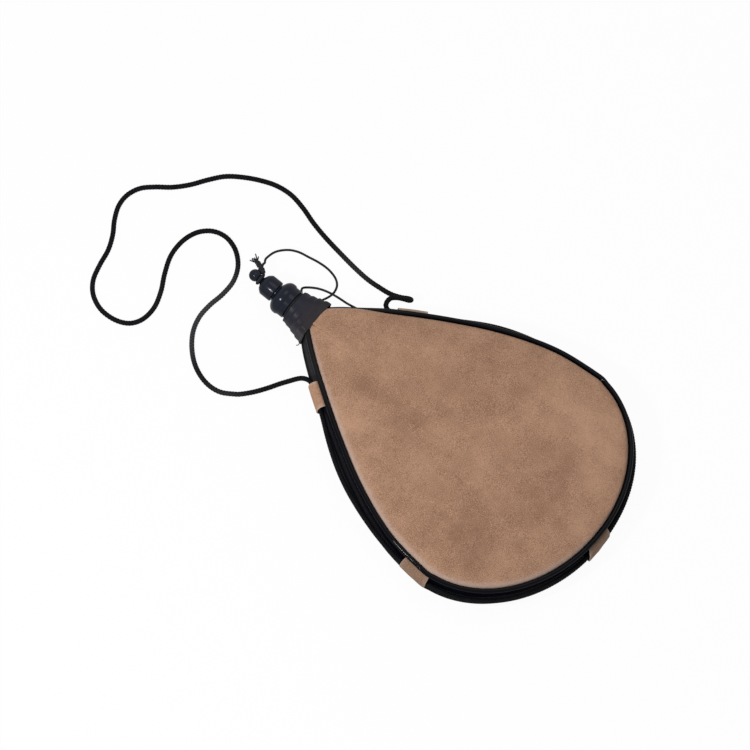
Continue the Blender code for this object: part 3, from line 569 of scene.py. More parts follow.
lump_turn = Matrix.Rotation(0.5, 3, "X") @ Matrix.Rotation(0.9, 3, "Z")
lump_middle = Vector((0.0060, BALL_Y - 0.0006, MID_Z + 0.0008))
lump_points = [lump_middle + lump_turn @ knotted(turn, KNOT_SIZE)
               for turn in np.linspace(KNOT_GAP, 2 * math.pi - KNOT_GAP, 90)]
lump = knot_part("tether_knot_lump", lump_points, KNOT_CORD_RADIUS)
stem_loop_y = CAP_TOP_Y + TETHER_STAND_OFF
stem_loop_route = [
    lump_middle + Vector((0.0002, -0.0006, 0.0008)), lump_middle + Vector((-0.0006, -0.0024, 0.0012)),
    Vector((0.0050, stem_loop_y + 0.0013, MID_Z + 0.0006)),
    Vector((0.0037, stem_loop_y + 0.0004, MID_Z + 0.0008)),
    Vector((0.0022, stem_loop_y, MID_Z + 0.0024)), Vector((0.0, stem_loop_y, MID_Z + 0.0033)),
    Vector((-0.0027, stem_loop_y, MID_Z + 0.0018)), Vector((-0.0033, stem_loop_y, MID_Z)),
    Vector((-0.0024, stem_loop_y, MID_Z - 0.0023)), Vector((0.0, stem_loop_y, MID_Z - 0.0033)),
    Vector((0.0025, stem_loop_y, MID_Z - 0.0020)), Vector((0.0042, stem_loop_y + 0.0003, MID_Z - 0.0010)),
    Vector((0.0054, stem_loop_y + 0.0013, MID_Z - 0.0012)), lump_middle + Vector((0.0000, -0.0022, -0.0012)),
    lump_middle + Vector((0.0002, -0.0006, -0.0008)),
]
stem_loop = knot_part("tether_stem_loop", smooth_curve(stem_loop_route, per_span=10), STEM_LOOP_RADIUS)
lead_route = [lump_middle, (lump_middle + line_start) / 2, line_start, Vector(cap_points[1])]
line_lead = knot_part("tether_lead", smooth_curve(lead_route, per_span=8), TETHER_FULL_RADIUS)
hitch_route = [lump_middle, Vector((0.0054, BALL_Y - 0.0022, MID_Z + 0.0006)),
               Vector((0.0046, stem_loop_y + 0.0008, MID_Z + 0.0004))]
stem_hitch = knot_part("tether_stem_hitch", smooth_curve(hitch_route, per_span=8), STEM_HITCH_RADIUS,
                       thickness=tapering(0.15))
tuft_root = Vector((0.0086, BALL_Y + 0.0046, MID_Z))
tuft_bend = (lump_middle + tuft_root) / 2 + Vector((0.0003, -0.0002, 0.0))
tuft_body = knot_part("tassel_body", smooth_curve([lump_middle, tuft_bend, tuft_root], per_span=8),
                      TUFT_BODY_RADIUS, thickness=tapering(0.25))
chance = random.Random(7)
strands = []
for index, (lean, reach) in enumerate(TUFT_STRANDS):
    way = Vector((math.cos(math.radians(lean)), math.sin(math.radians(lean)), chance.uniform(-0.15, 0.30)))
    tip = way * reach
    shift = Vector((chance.uniform(-0.0006, 0.0006), 0.0, chance.uniform(-0.0006, 0.0006)))
    sway = Vector((chance.uniform(-0.0004, 0.0004), chance.uniform(-0.0003, 0.0003), 0.0))
    bend = tuft_root + tip * 0.5 + sway
    route = smooth_curve([tuft_root + shift - Vector((0.0006, 0.0018, 0.0)), tuft_root + shift, bend,
                          tuft_root + tip], per_span=8)
    strands.append(knot_part("tassel_strand_%d" % index, route, STRAND_RADIUS, sides=8,
                             thickness=tapering(0.35)))
whip_way = (tuft_root - lump_middle).normalized()
whip_side = whip_way.cross(Vector((0.0, 0.0, 1.0)))
whip_points = [tuft_root + whip_way * (WHIP_RISE * turn - WHIP_START)
               + (whip_side * math.cos(turn) + Vector((0.0, 0.0, math.sin(turn)))) * WHIP_RADIUS
               for turn in np.linspace(0, WHIP_TURNS * 2 * math.pi, 70)]
whipping = knot_part("tassel_whipping", whip_points, WHIP_CORD_RADIUS, sides=8)


def merged(name, pieces):
    """Joins pieces into one mesh."""
    deselect()
    for piece in pieces:
        piece.select_set(True)
    bpy.context.view_layer.objects.active = pieces[0]
    bpy.ops.object.join()
    pieces[0].name = name
    pieces[0].data.name = name
    return pieces[0]


knot = merged("tether_knot_tied", [lump, stem_loop, stem_hitch, line_lead, tuft_body, whipping] + strands)
for piece, body, node in ((cap_line, "tether_end", "tether_cap_line"), (bag_line, "bag", "tether_bag_line"),
                          (knot, "tether_end", "tether_knot")):
    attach(piece, body)
    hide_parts(node)
tuple(cap_curve.at(0.0))
[tuple(p) for p in cap_curve.evenly(160)]
[tuple(p) for p in bag_curve.evenly(80)]

deselect()
bpy.ops.mesh.primitive_torus_add(major_radius=TIE_RADIUS, minor_radius=TETHER_RADIUS, major_segments=72,
                                 minor_segments=12, location=(0.0, TETHER_Y, MID_Z),
                                 rotation=(math.pi / 2, 0.0, 0.0))
tie = bpy.context.object
bpy.ops.object.transform_apply(location=True, rotation=True, scale=True)
bpy.ops.object.shade_smooth()
tie_repeats = round(2 * math.pi * TIE_RADIUS / TETHER_PITCH)
for loop in tie.data.uv_layers[0].data:
    loop.uv = (loop.uv[1], loop.uv[0] * tie_repeats)
tie.data.materials.append(thin_braid)
tail = knot_part("tether_tail", [(0.0, TETHER_Y, 0.00462), (0.0, TETHER_Y, 0.0032), (0.0, TETHER_Y, 0.00175)],
                 TETHER_RADIUS)
tie = merged("tether_tie_cord", [tie, tail])
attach(tie, "bag")
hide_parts("tether_tie")


# Suede panels
# The front and back of the skin are one piece of tan suede each, napped side out. They crown
# over the bladder, and their edges roll down into the seam beside the piping.
SUEDE_DEEP = (0.262, 0.142, 0.088)
SUEDE_PALE = (0.520, 0.308, 0.200)
SUEDE_RIM_WORN_AND_LIT = (0.580, 0.435, 0.370)


def suede_finish(name, tone=1.0, grey=0.0):
    """Napped suede: drifting tone, short fibres and a paler edge that is partly wear and partly a painted
    highlight.
    """
    finish = Finish(name, Specular_IOR_Level=0.12, Sheen_Weight=0.10, Sheen_Roughness=0.5,
                    Sheen_Tint=(0.95, 0.80, 0.68))
    drift = finish.cloud(24.0, 2.0, 0.5, 1.0)
    patch = finish.cloud(80.0, 3.0, 0.55, 2.0)
    mottle = finish.cloud(400.0, 3.0, 0.6, 3.0)
    nap = finish.cloud(1900.0, 2.0, 0.6, 4.0)
    fibre = finish.cloud(2600.0, 2.0, 0.6, 5.0)
    shade = (drift - 0.5) * 0.60 + (patch - 0.5) * 1.05 + (mottle - 0.5) * 0.35 + (nap - 0.5) * 3.8
    shade = shade + finish.mark("tone") * 0.24

    # For the loops, tone and grey paint the light and shade that falls on each loop.
    def toned(colour):
        plain = sum(colour) / 3
        return tuple((c + (plain - c) * grey) * tone for c in colour)

    colour = finish.mix((0.5 + shade).clipped(), toned(SUEDE_DEEP), toned(SUEDE_PALE))
    # The pale edge is partly wear and partly a painted highlight, strongest on the left.
    worn = (finish.mark("edge") * (0.55 + mottle * 0.5 + (nap - 0.5) * 1.2)).clipped()
    finish.give("Base Color", finish.mix(worn, colour, toned(SUEDE_RIM_WORN_AND_LIT)))
    finish.give("Roughness", 0.84 + nap * 0.14)
    finish.give("Normal", finish.bump(nap * 0.7 + fibre * 0.4 + mottle * 0.5, 0.00042, 0.6))
    return finish.material


tan_suede = suede_finish("tan_suede")
panel_outline = Line(list(seam.points) + [tuple(seam.points[0])])
panel_centre = Vector((0.0, WIDEST_Y))
SUEDE_WALL = 0.0014
FRONT_CROWN = 0.0060
BACK_CROWN = 0.0043
SEAM_ROLL = 0.0013
FAR_NECK_SHARES = (0.918, 0.962)
RIM_OVERLAP = 0.00045
FAR_NECK_OVERLAP = 0.0008
OVERLAP_REACH = 0.006
RING_CROWDING = 1.45
ROLL_REACH = 0.0011
BACK_ROLL = 0.0011
BACK_EASE_SHARE = 0.2
CALM_REACH = 0.012
PUCKER_HEIGHT = 0.00022
PUCKER_REACH = 0.0045
NECK_FULLNESS = 0.0012
NECK_FULL_REACH = 0.010
# Soft swells of the front: height, lumps per metre and place in the noise
FRONT_SWELLS = [(0.00115, 22, 4.2), (0.00045, 60, 8.7)]
# Pale edge, worn all round with a painted highlight on the left: strength on the right, reach on the
# right, and what the left adds to that reach
RIM_WEAR = 0.25
RIM_REACH = 0.0014
RIM_LEFT_REACH = 0.0010
# Darker and lighter places in the suede's colour: x, y, reach and strength
TONE_PLACES = [
    (-0.018, 0.042, 0.014, -1.0), (-0.020, 0.002, 0.017, -0.9), (0.048, -0.010, 0.013, -0.8),
    (0.047, -0.041, 0.014, -0.7), (0.030, -0.091, 0.017, -0.9), (-0.004, -0.110, 0.018, -1.0),
    (-0.072, -0.094, 0.012, -0.9), (0.001, 0.081, 0.007, -0.6), (0.014, 0.026, 0.017, 0.9),
    (0.041, -0.123, 0.013, 0.9), (-0.001, -0.137, 0.009, 0.8), (-0.008, 0.070, 0.012, 0.7),
    (0.060, -0.070, 0.014, 0.6), (0.064, -0.095, 0.026, 1.6), (-0.049, 0.038, 0.022, 1.1),
    (-0.057, -0.079, 0.024, -0.8),
]


def far_neck(share):
    """1 beside the neck on the right, where the seam is drawn in under the suede, else 0."""
    low, high = FAR_NECK_SHARES
    return eased((share - low) / (high - low))


def ring_share(v):
    return 1.0 - v ** RING_CROWDING


def panel_flat(u, v):
    return panel_centre + (panel_outline.at(u) - panel_centre) * ring_share(v)


def seam_distance(u, v):
    return (1.0 - ring_share(v)) * (panel_outline.at(u) - panel_centre).length


def seam_share(u):
    return u * panel_outline.length / seam.length


def front_place(u, v):
    share = ring_share(v)
    flat = panel_flat(u, v)
    inward = seam_distance(u, v)
    crown = FRONT_CROWN * (1.0 - share ** 5) ** 0.6
    drawn = far_neck(seam_share(u))
    roll = SEAM_ROLL * (1.0 - drawn) * math.exp(-(inward / ROLL_REACH) ** 1.5)
    calm = 1.0 - math.exp(-(inward / CALM_REACH) ** 2)
    swell = sum(height * noise.noise(Vector((flat.x * lumps, flat.y * lumps, seed)))
                for height, lumps, seed in FRONT_SWELLS)
    pucker = PUCKER_HEIGHT * math.exp(-inward / PUCKER_REACH) * noise.noise(Vector((u * 105.0, 0.0, 2.0)))
    full = NECK_FULLNESS * drawn * math.exp(-(inward / NECK_FULL_REACH) ** 2)
    rise = seam_half_height(flat.y) + crown + SUEDE_WALL / 2 - roll + swell * calm + pucker + full
    heading = seam.heading(min(seam_share(u), 1.0))
    overlap = RIM_OVERLAP + (FAR_NECK_OVERLAP - RIM_OVERLAP) * drawn
    flat += Vector((heading.y, -heading.x)) * (overlap * math.exp(-(inward / OVERLAP_REACH) ** 2))
    return Vector((flat.x, flat.y, MID_Z + rise))


def back_place(u, v):
    share = ring_share(v)
    flat = panel_flat(u, v)
    crown = BACK_CROWN * (1.0 - max(1.0 - (1.0 - share) / BACK_EASE_SHARE, 0.0) ** 2.1)
    roll = BACK_ROLL * math.exp(-(seam_distance(u, v) / ROLL_REACH) ** 1.5)
    height = MID_Z - seam_half_height(flat.y) - crown - SUEDE_WALL / 2 + roll
    return Vector((flat.x, flat.y, max(height, 0.0)))


def rim_wear_and_light_mark(u, v):
    """The pale edge: worn and thin on the right, wider and paler on the left with a painted highlight."""
    rim = panel_outline.at(u)
    left = eased(0.5 - 9.0 * rim.x)
    reach = RIM_REACH + RIM_LEFT_REACH * left
    return (RIM_WEAR + (1.0 - RIM_WEAR) * left) * math.exp(-(seam_distance(u, v) / reach) ** 2)


def tone_places_mark(u, v):
    flat = panel_flat(u, v)
    return sum(strength * math.exp(-((flat - Vector((x, y))).length / reach) ** 2)
               for x, y, reach, strength in TONE_PLACES)


def add_wall(piece, thickness, offset):
    """Thickens a sheet: offset -1 builds the wall behind its faces, and 0 to both sides."""
    wall = piece.modifiers.new("wall", "SOLIDIFY")
    wall.thickness = thickness
    wall.offset = offset


def apply_all(piece):
    deselect()
    bpy.context.view_layer.objects.active = piece
    piece.select_set(True)
    for modifier in list(piece.modifiers):
        bpy.ops.object.modifier_apply(modifier=modifier.name)


for name, place, node in (("suede_front", front_place, "front_panel"),
                          ("suede_back", back_place, "back_panel")):
    panel = laid(name, 320, 44, place, tan_suede, closed=True,
                 marks={"edge": rim_wear_and_light_mark, "tone": tone_places_mark})
    wants_up = name == "suede_front"
    faces_up = sum(p.normal.z * p.area for p in panel.data.polygons) > 0
    if faces_up != wants_up:
        panel.data.flip_normals()
    add_wall(panel, SUEDE_WALL, -1.0)
    apply_all(panel)
    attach(panel, "bag")
    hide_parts(node)


# Pipings and side band
# Black leatherette: a glossy round piping in each seam, and between them the band that gives the
# bag its depth, folded into low welts that run along the edge.
# The leatherette is made lighter towards the neck.
NECK_LIGHTER_START = 0.040
NECK_LIGHTER_FULL = 0.078
# The blue in the piping and band blacks is a painted sheen.
PIPING_BLACK_BLUE_SHEEN = (0.0005, 0.0005, 0.0018)
PIPING_BY_NECK = (0.0085, 0.0078, 0.0078)
BAND_BLACK_BLUE_SHEEN = (0.0012, 0.0012, 0.0042)
BAND_BY_NECK = (0.0240, 0.0238, 0.0270)


def leatherette_finish(name, base, neck_colour, roughness, grain, depth, gloss):
    """Black leatherette: pressed pores, soft creases and scuffs, lighter towards the neck."""
    finish = Finish(name, Specular_IOR_Level=gloss)
    pores = finish.node("ShaderNodeTexVoronoi", {"feature": "DISTANCE_TO_EDGE"},
                        {"Vector": finish.place(), "Scale": grain}, "Distance").between(0.0, 0.16)
    creases = finish.cloud(grain * 0.35, 4.0, 0.6, 3.0)
    scuffs = finish.cloud(60.0, 4.0, 0.6, 6.0).between(0.55, 0.80)
    by_neck = finish.axis(finish.place(), "Y").between(NECK_LIGHTER_START, NECK_LIGHTER_FULL)
    finish.give("Base Color", finish.mix((by_neck * 0.85 + scuffs * 0.10).clipped(), base, neck_colour))
    finish.give("Roughness", roughness + scuffs * 0.10 + (creases - 0.5) * 0.10)
    finish.give("Normal", finish.bump(pores * 0.5 + creases, depth, 0.6))
    return finish.material


piping_black = leatherette_finish("piping_black", PIPING_BLACK_BLUE_SHEEN, PIPING_BY_NECK, roughness=0.07,
                                  grain=1300.0, depth=0.000002, gloss=0.075)
band_black = leatherette_finish("band_black", BAND_BLACK_BLUE_SHEEN, BAND_BY_NECK, roughness=0.38,
                                grain=900.0, depth=0.00008, gloss=0.008)
PIPING_OFFSET = 0.00235
PIPING_RADIUS = 0.00175
BEAD_POINTS = 500
BEAD_STEP = 0.0019
BEAD_PITCH = 0.004
BEAD_WAVE = 0.03
FAR_PIPING_DROP = 0.0015
FAR_PIPING_INSET = 0.0005
FAR_PIPING_SHRINK = 0.36
# The piping's flat flange, which is sewn in between the panel and the band
FLANGE_WALL = 0.0004
FLANGE_ROOT = 0.0013
FLANGE_ROOT_FALL = 0.0012
FLANGE_REACH = -0.0018
FLANGE_FALL = 0.0038
for name, side, node in (("piping_front_bead", 1, "front_piping"), ("piping_back_bead", -1, "back_piping")):
    bead_points = []
    for share in np.linspace(0.0, 1.0, BEAD_POINTS):
        height = seam_half_height(seam.at(share).y) - FAR_PIPING_DROP * far_neck(share)
        bead_points.append(beside_seam(share, PIPING_OFFSET - FAR_PIPING_INSET * far_neck(share),
                                       side * height))
    bead = cord_piece(name, Line(bead_points), PIPING_RADIUS, piping_black, BEAD_STEP, BEAD_PITCH,
                      thickness=lambda v: 1.0 - FAR_PIPING_SHRINK * far_neck(v)
                      + BEAD_WAVE * noise.noise(Vector((v * 140.0, 1.0, 5.0))))

    def flange_place(u, v):
        fall = FLANGE_FALL + (FLANGE_ROOT_FALL - FLANGE_FALL) * v
        return beside_seam(u, FLANGE_REACH + (FLANGE_ROOT - FLANGE_REACH) * v,
                           side * (seam_half_height(seam.at(u).y) - fall - FAR_PIPING_DROP * far_neck(u)))

    flange = laid("flange", 300, 3, flange_place, piping_black)
    add_wall(flange, FLANGE_WALL, 0.0)
    apply_all(flange)
    bead = merged(name, [bead, flange])
    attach(bead, "bag")
    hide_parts(node)

BAND_WALL = 0.0012
BAND_FACE = 0.00295
BAND_BULGE = 0.0005
BAND_EDGE_GAP = 0.00205
BAND_GIVE = 0.00014
BAND_NECK_DRAW = 0.0010
# Welts: height on the band from its middle, how far each stands out, and its width
WELT_RISES = [(0.0052, 0.00042, 0.00062), (0.0034, 0.00012, 0.00035), (0.0016, 0.00012, 0.00035)]


def band_place(u, v):
    half = seam_half_height(seam.at(u).y) - BAND_EDGE_GAP
    level = 1.0 - 2.0 * v
    rise = level * half
    welts = sum(height * math.exp(-((abs(rise) - place) / width) ** 2) for place, height, width in WELT_RISES)
    give = BAND_GIVE * noise.noise(Vector((u * 46.0, rise * 300.0, 7.0)))
    offset = BAND_FACE + BAND_BULGE * (1.0 - level * level) + welts + give - BAND_NECK_DRAW * far_neck(u)
    return beside_seam(u, offset, rise)


def faces_out(piece):
    """Turns an open strip's faces away from the bag."""
    middle = piece.data.polygons[len(piece.data.polygons) // 2]
    if middle.normal.dot(Vector((middle.center.x, middle.center.y - WIDEST_Y, 0.0))) < 0:
        piece.data.flip_normals()


band = laid("side_band_welted", 420, 40, band_place, band_black)
faces_out(band)
add_wall(band, BAND_WALL, -1.0)
apply_all(band)
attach(band, "bag")
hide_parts("side_band")


# Strap loops
# Five short strips of the same suede, folded round the cord and sewn in under both pipings.
# They are cut edge on, so the paler split side shows along their ends.
LOOP_WALL = 0.0009
LOOP_ROOT = 0.00335
LOOP_HALF_HEIGHT = 0.0069
LOOP_WAVE = 0.00022
LOOP_EDGE = 0.00025
# Each loop: reach of the strip at its two ends, fullness, how far its outside slips along the
# cord, how far it hangs, how much shorter it is cut, tone and greyness. The tone and greyness are
# painted light and shade: painted shade on the three lower loops, a painted highlight on the upper right one.
LOOP_FORMS = {
    "strap_loop_upper_left": (0.0048, 0.0047, 0.85, 0.0006, 0.0, 0.0016, 1.03, 0.0),
    "strap_loop_lower_left": (0.0040, 0.0040, 1.60, 0.0004, -0.0014, 0.0, 0.64, 0.10),
    "strap_loop_bottom": (0.0048, 0.0040, 1.05, 0.0030, 0.0014, 0.0, 0.70, 0.20),
    "strap_loop_lower_right": (0.0042, 0.0042, 2.60, 0.0006, 0.0018, 0.0, 0.70, 0.10),
    "strap_loop_upper_right": (0.0050, 0.0050, 0.90, 0.0, 0.0, 0.0, 1.45, 0.35),
}
for index, (node, form) in enumerate(LOOP_FORMS.items()):
    low_reach, high_reach, fullness, slip, hang, short, tone, grey = form

    def loop_place(u, v):
        turn = math.pi / 2 - math.pi * v
        out = abs(math.cos(turn))
        reach = low_reach + (high_reach - low_reach) * u
        offset = LOOP_ROOT + reach * out ** fullness
        rise = LOOP_HALF_HEIGHT * math.copysign(abs(math.sin(turn)) ** 0.95, turn)
        rise -= hang * (1.0 - v) * (0.4 + 0.6 * u)
        wave = LOOP_WAVE * noise.noise(Vector((u * 3.0, v * 4.0, index * 3.1)))
        here = LOOP_SHARES[index] + loop_reach * (2.0 * u - 1.0)
        here -= (slip * out * (1.0 - 0.6 * u) + short * u) / seam.length
        return beside_seam(here, offset + wave, rise)

    # Each loop gets its own copy of the suede, toned with painted light and shade.
    strip = laid("suede_" + node, 26, 30, loop_place, suede_finish("loop_suede_painted_light_%d" % index, tone, grey),
                 marks={"edge": lambda u, v: 0.8 * math.exp(-min(u, 1.0 - u) / 0.05),
                        "tone": lambda u, v: 0.6 * noise.noise(Vector((u * 2.0, v * 3.0, index * 1.7)))})
    faces_out(strip)
    add_wall(strip, LOOP_WALL, 0.0)
    edges = strip.modifiers.new("edges", "BEVEL")
    edges.width = LOOP_EDGE
    edges.segments = 2
    edges.limit_method = "ANGLE"
    edges.angle_limit = math.radians(50)
    apply_all(strip)
    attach(strip, "bag")
    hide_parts(node)


# Neck collar
# A strip of black leatherette wound four times round the neck over the spout, pulled tight so
# that the turns go down to the caps in stairs. It is boxy on the bag and round at the cap, and a
# loose thread end sticks out at its foot.
COLLAR_Y = 0.097025
COLLAR_LENGTH = 0.0193
COLLAR_TURNS = 4
COLLAR_BASE = Vector((0.0154, 0.0119))
COLLAR_TOP = Vector((0.0125, 0.0125))
COLLAR_WALL = 0.0008
COLLAR_SQUARENESS = 7.0
COLLAR_WAVE = 0.00018
STAIR_SHARE = 0.35
STAIR_WEIGHT = 0.6
SQUARE_FADE = 2.5
TURN_ROWS = 26
COLLAR_BY_CAPS = (0.0170, 0.0172, 0.0270)
COLLAR_BY_BAG = (0.0240, 0.0200, 0.0235)
COLLAR_WORN = (0.0380, 0.0350, 0.0390)
THREAD_RADIUS = 0.00030


def collar_finish():
    """Satin leatherette, bluer at the caps and browner where it has rubbed on the suede."""
    finish = Finish("collar_black", Specular_IOR_Level=0.10)
    brown = finish.axis(finish.place(), "Y").between(COLLAR_Y + COLLAR_LENGTH, COLLAR_Y)
    creases = finish.cloud(260.0, 4.0, 0.6, 3.0)
    colour = finish.mix(brown, COLLAR_BY_CAPS, COLLAR_BY_BAG)
    worn = finish.cloud(140.0, 3.0, 0.6, 5.0).between(0.5, 0.85)
    finish.give("Base Color", finish.mix(worn * 0.4, colour, COLLAR_WORN))
    finish.give("Roughness", 0.38 + (creases - 0.5) * 0.2)
    finish.give("Normal", finish.bump(creases, 0.00010, 0.5))
    return finish.material


collar_black = collar_finish()


def squared(value, power):
    """A circle's cosine or sine made squarer: 2 is round, higher is boxier."""
    return math.copysign(abs(value) ** (2 / power), value)


def collar_place(u, v):
    angle = 2 * math.pi * u
    turn = (COLLAR_TURNS + 1) * v - 1.0
    along = min(max((turn + u) / COLLAR_TURNS, 0.0), 1.0)
    level = COLLAR_TURNS * along - u
    tread = level - math.floor(level)
    stair = math.floor(level) + eased((tread - 1.0 + STAIR_SHARE) / STAIR_SHARE) + u
    narrowed = STAIR_WEIGHT * stair / COLLAR_TURNS + (1.0 - STAIR_WEIGHT) * along
    soft = COLLAR_WAVE * noise.noise(Vector((math.cos(angle) * 2.0, math.sin(angle) * 2.0, along * 6.0)))
    half = COLLAR_BASE + (COLLAR_TOP - COLLAR_BASE) * narrowed
    power = 2.0 + (COLLAR_SQUARENESS - 2.0) * (1.0 - min(max(narrowed, 0.0), 1.0)) ** SQUARE_FADE
    return Vector(((half.x + soft) * squared(math.cos(angle), power),
                   COLLAR_Y + COLLAR_LENGTH * along,
                   MID_Z + (half.y + soft) * squared(math.sin(angle), power)))


collar = laid("collar_wrap", 160, TURN_ROWS * (COLLAR_TURNS + 1), collar_place, collar_black, closed=True)
add_wall(collar, COLLAR_WALL, -1.0)
apply_all(collar)
thread_route = [(-0.0140, 0.0990, 0.0060), (-0.0158, 0.0978, 0.0062), (-0.0176, 0.0975, 0.0075),
                (-0.0190, 0.0985, 0.0080)]
thread_end = cord_piece("collar_thread", Line(smooth_curve(thread_route, per_span=8)), THREAD_RADIUS,
                        collar_black, 0.0004, 0.001, sides=6)
for piece in (collar, thread_end):
    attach(piece, "bag")
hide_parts("neck_collar")


# Screw caps
# Two black moulded caps on the spout: the wide filler cap with the drinking nozzle on its top,
# and on that the small drinking cap with its ball. Both are turned shapes with soft shoulders.
MOULDED_COLOUR = (0.0080, 0.0098, 0.0190)
MOULDED_RUBBED = (0.0160, 0.0190, 0.0320)
PROFILE_SAME_PLACE = 0.00001
SHARP_EDGE = math.radians(38)


def moulded_finish(name):
    """Semi-gloss moulding with faint flow marks and rubbed places."""
    finish = Finish(name, Specular_IOR_Level=0.14)
    wear = finish.cloud(180.0, 5.0, 0.65, 2.0)
    flow = finish.cloud(900.0, 2.0, 0.5, 5.0)
    finish.give("Base Color", finish.mix(wear.between(0.45, 0.8) * 0.5, MOULDED_COLOUR, MOULDED_RUBBED))
    finish.give("Roughness", 0.13 + wear * 0.09)
    finish.give("Normal", finish.bump(wear * 0.7 + flow * 0.3, 0.00004, 0.4))
    return finish.material


moulded_black = moulded_finish("moulded_black")


def oval(radius_at, along_at, width, height, start, end, steps):
    """Points of an oval edge, by angle from the outward direction to the front."""
    return [(radius_at + width * math.cos(math.radians(a)), along_at + height * math.sin(math.radians(a)))
            for a in np.linspace(start, end, steps + 1)]


def lathe(name, profile, finish, steps=96):
    """A profile drawn point by point beside the neck's axis and spun round it."""
    deselect()
    bpy.ops.mesh.primitive_plane_add(size=0.001, location=(0.0, 0.0, 0.0))
    piece = bpy.context.object
    piece.name = name
    piece.data.name = name
    bpy.ops.object.mode_set(mode="EDIT")
    bpy.ops.mesh.select_all(action="SELECT")
    bpy.ops.mesh.merge(type="CENTER")
    points = [Vector((radius, along, MID_Z)) for radius, along in profile]
    bpy.ops.transform.translate(value=points[0])
    for here, after in zip(points, points[1:]):
        bpy.ops.mesh.extrude_vertices_move(TRANSFORM_OT_translate={"value": after - here})
    bpy.ops.mesh.select_all(action="SELECT")
    bpy.ops.mesh.spin(steps=steps, angle=2 * math.pi, center=(0.0, 0.0, MID_Z), axis=(0.0, 1.0, 0.0))
    bpy.ops.mesh.select_all(action="SELECT")
    bpy.ops.mesh.remove_doubles(threshold=PROFILE_SAME_PLACE)
    bpy.ops.mesh.normals_make_consistent(inside=False)
    bpy.ops.object.mode_set(mode="OBJECT")
    piece.data.materials.append(finish)
    bpy.ops.object.shade_smooth_by_angle(angle=SHARP_EDGE)
    return piece


FILLER_Y = 0.118325
FILLER_TOP_Y = 0.131825
FILLER_RADIUS = 0.0121
FILLER_REAR_RADIUS = 0.0113
FILLER_DOME_WIDTH = 0.0087
FILLER_DOME_HEIGHT = 0.0061
FILLER_RIM_LENGTH = 0.0011
FILLER_EASE_LENGTH = 0.0024
FILLER_EASE_STEPS = 6
FILLER_SKIRT = 0.0094
NOZZLE_LENGTH = 0.0076
NOZZLE_RADIUS = 0.0056
NOZZLE_CHAMBER = 0.0026
NOZZLE_TIP_WALL = 0.0022
JET_RADIUS = 0.0010
JET_LENGTH = 0.0012
EDGE_BREAK = 0.0004
SPIGOT_BORE = 0.0092
nozzle_top = FILLER_TOP_Y + NOZZLE_LENGTH
rim_front = FILLER_TOP_Y - FILLER_DOME_HEIGHT
rim_rear = rim_front - FILLER_RIM_LENGTH
dome_root = FILLER_RADIUS - FILLER_DOME_WIDTH
nozzle_angle = math.degrees(math.acos((NOZZLE_RADIUS - dome_root) / FILLER_DOME_WIDTH))
filler_profile = [(JET_RADIUS, nozzle_top), (NOZZLE_RADIUS - EDGE_BREAK, nozzle_top),
                  (NOZZLE_RADIUS, nozzle_top - EDGE_BREAK)]
filler_profile += oval(dome_root, rim_front, FILLER_DOME_WIDTH, FILLER_DOME_HEIGHT, nozzle_angle, 0, 16)
filler_profile.append((FILLER_RADIUS, rim_rear))
for step in range(1, FILLER_EASE_STEPS + 1):
    share = step / FILLER_EASE_STEPS
    filler_profile.append((FILLER_RADIUS + (FILLER_REAR_RADIUS - FILLER_RADIUS) * eased(share),
                           rim_rear - FILLER_EASE_LENGTH * share))
filler_profile += oval(FILLER_REAR_RADIUS - EDGE_BREAK, FILLER_Y + EDGE_BREAK, EDGE_BREAK, EDGE_BREAK,
                       0, -90, 4)
filler_profile += [(SPIGOT_BORE, FILLER_Y), (SPIGOT_BORE, FILLER_Y + FILLER_SKIRT),
                   (NOZZLE_CHAMBER, FILLER_Y + FILLER_SKIRT),
                   (NOZZLE_CHAMBER, nozzle_top - NOZZLE_TIP_WALL),
                   (JET_RADIUS, nozzle_top - JET_LENGTH), (JET_RADIUS, nozzle_top)]
filler = lathe("filler_cap_moulding", filler_profile, moulded_black)

CAP_Y = 0.132225
CAP_RADIUS = 0.0078
CAP_SHOULDER = 0.0052
CAP_EDGE = 0.0009
CAP_BORE = 0.0059
CAP_ROOF = 0.0044
STEM_RADIUS = 0.0020
BALL_RADIUS = 0.0043
# Front of the cap: share of the way from its stem out to its side, and share of the shoulder
CAP_FRONT_SHARES = [(0.0, 0.0), (0.26, 0.21), (0.59, 0.385), (0.79, 0.615), (0.95, 0.85), (1.0, 1.0)]
ball_profile = oval(0.0, BALL_Y, BALL_RADIUS, BALL_RADIUS, 90, -62, 22)
ball_profile[0] = (0.0, BALL_Y + BALL_RADIUS)
front = [(STEM_RADIUS + (CAP_RADIUS - STEM_RADIUS) * out, CAP_TOP_Y - CAP_SHOULDER * back)
         for out, back in CAP_FRONT_SHARES]
cap_profile = ball_profile + [tuple(p) for p in smooth_curve(front, per_span=4)]
cap_profile += oval(CAP_RADIUS - CAP_EDGE, CAP_Y + CAP_EDGE, CAP_EDGE, CAP_EDGE, 0, -90, 5)
cap_profile += [(CAP_BORE, CAP_Y), (CAP_BORE, CAP_TOP_Y - CAP_ROOF), (0.0, CAP_TOP_Y - CAP_ROOF)]
drinking = lathe("drinking_cap_moulding", cap_profile, moulded_black, 72)
for piece, body in ((filler, "filler_cap"), (drinking, "drinking_cap")):
    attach(piece, body)
    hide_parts(body)


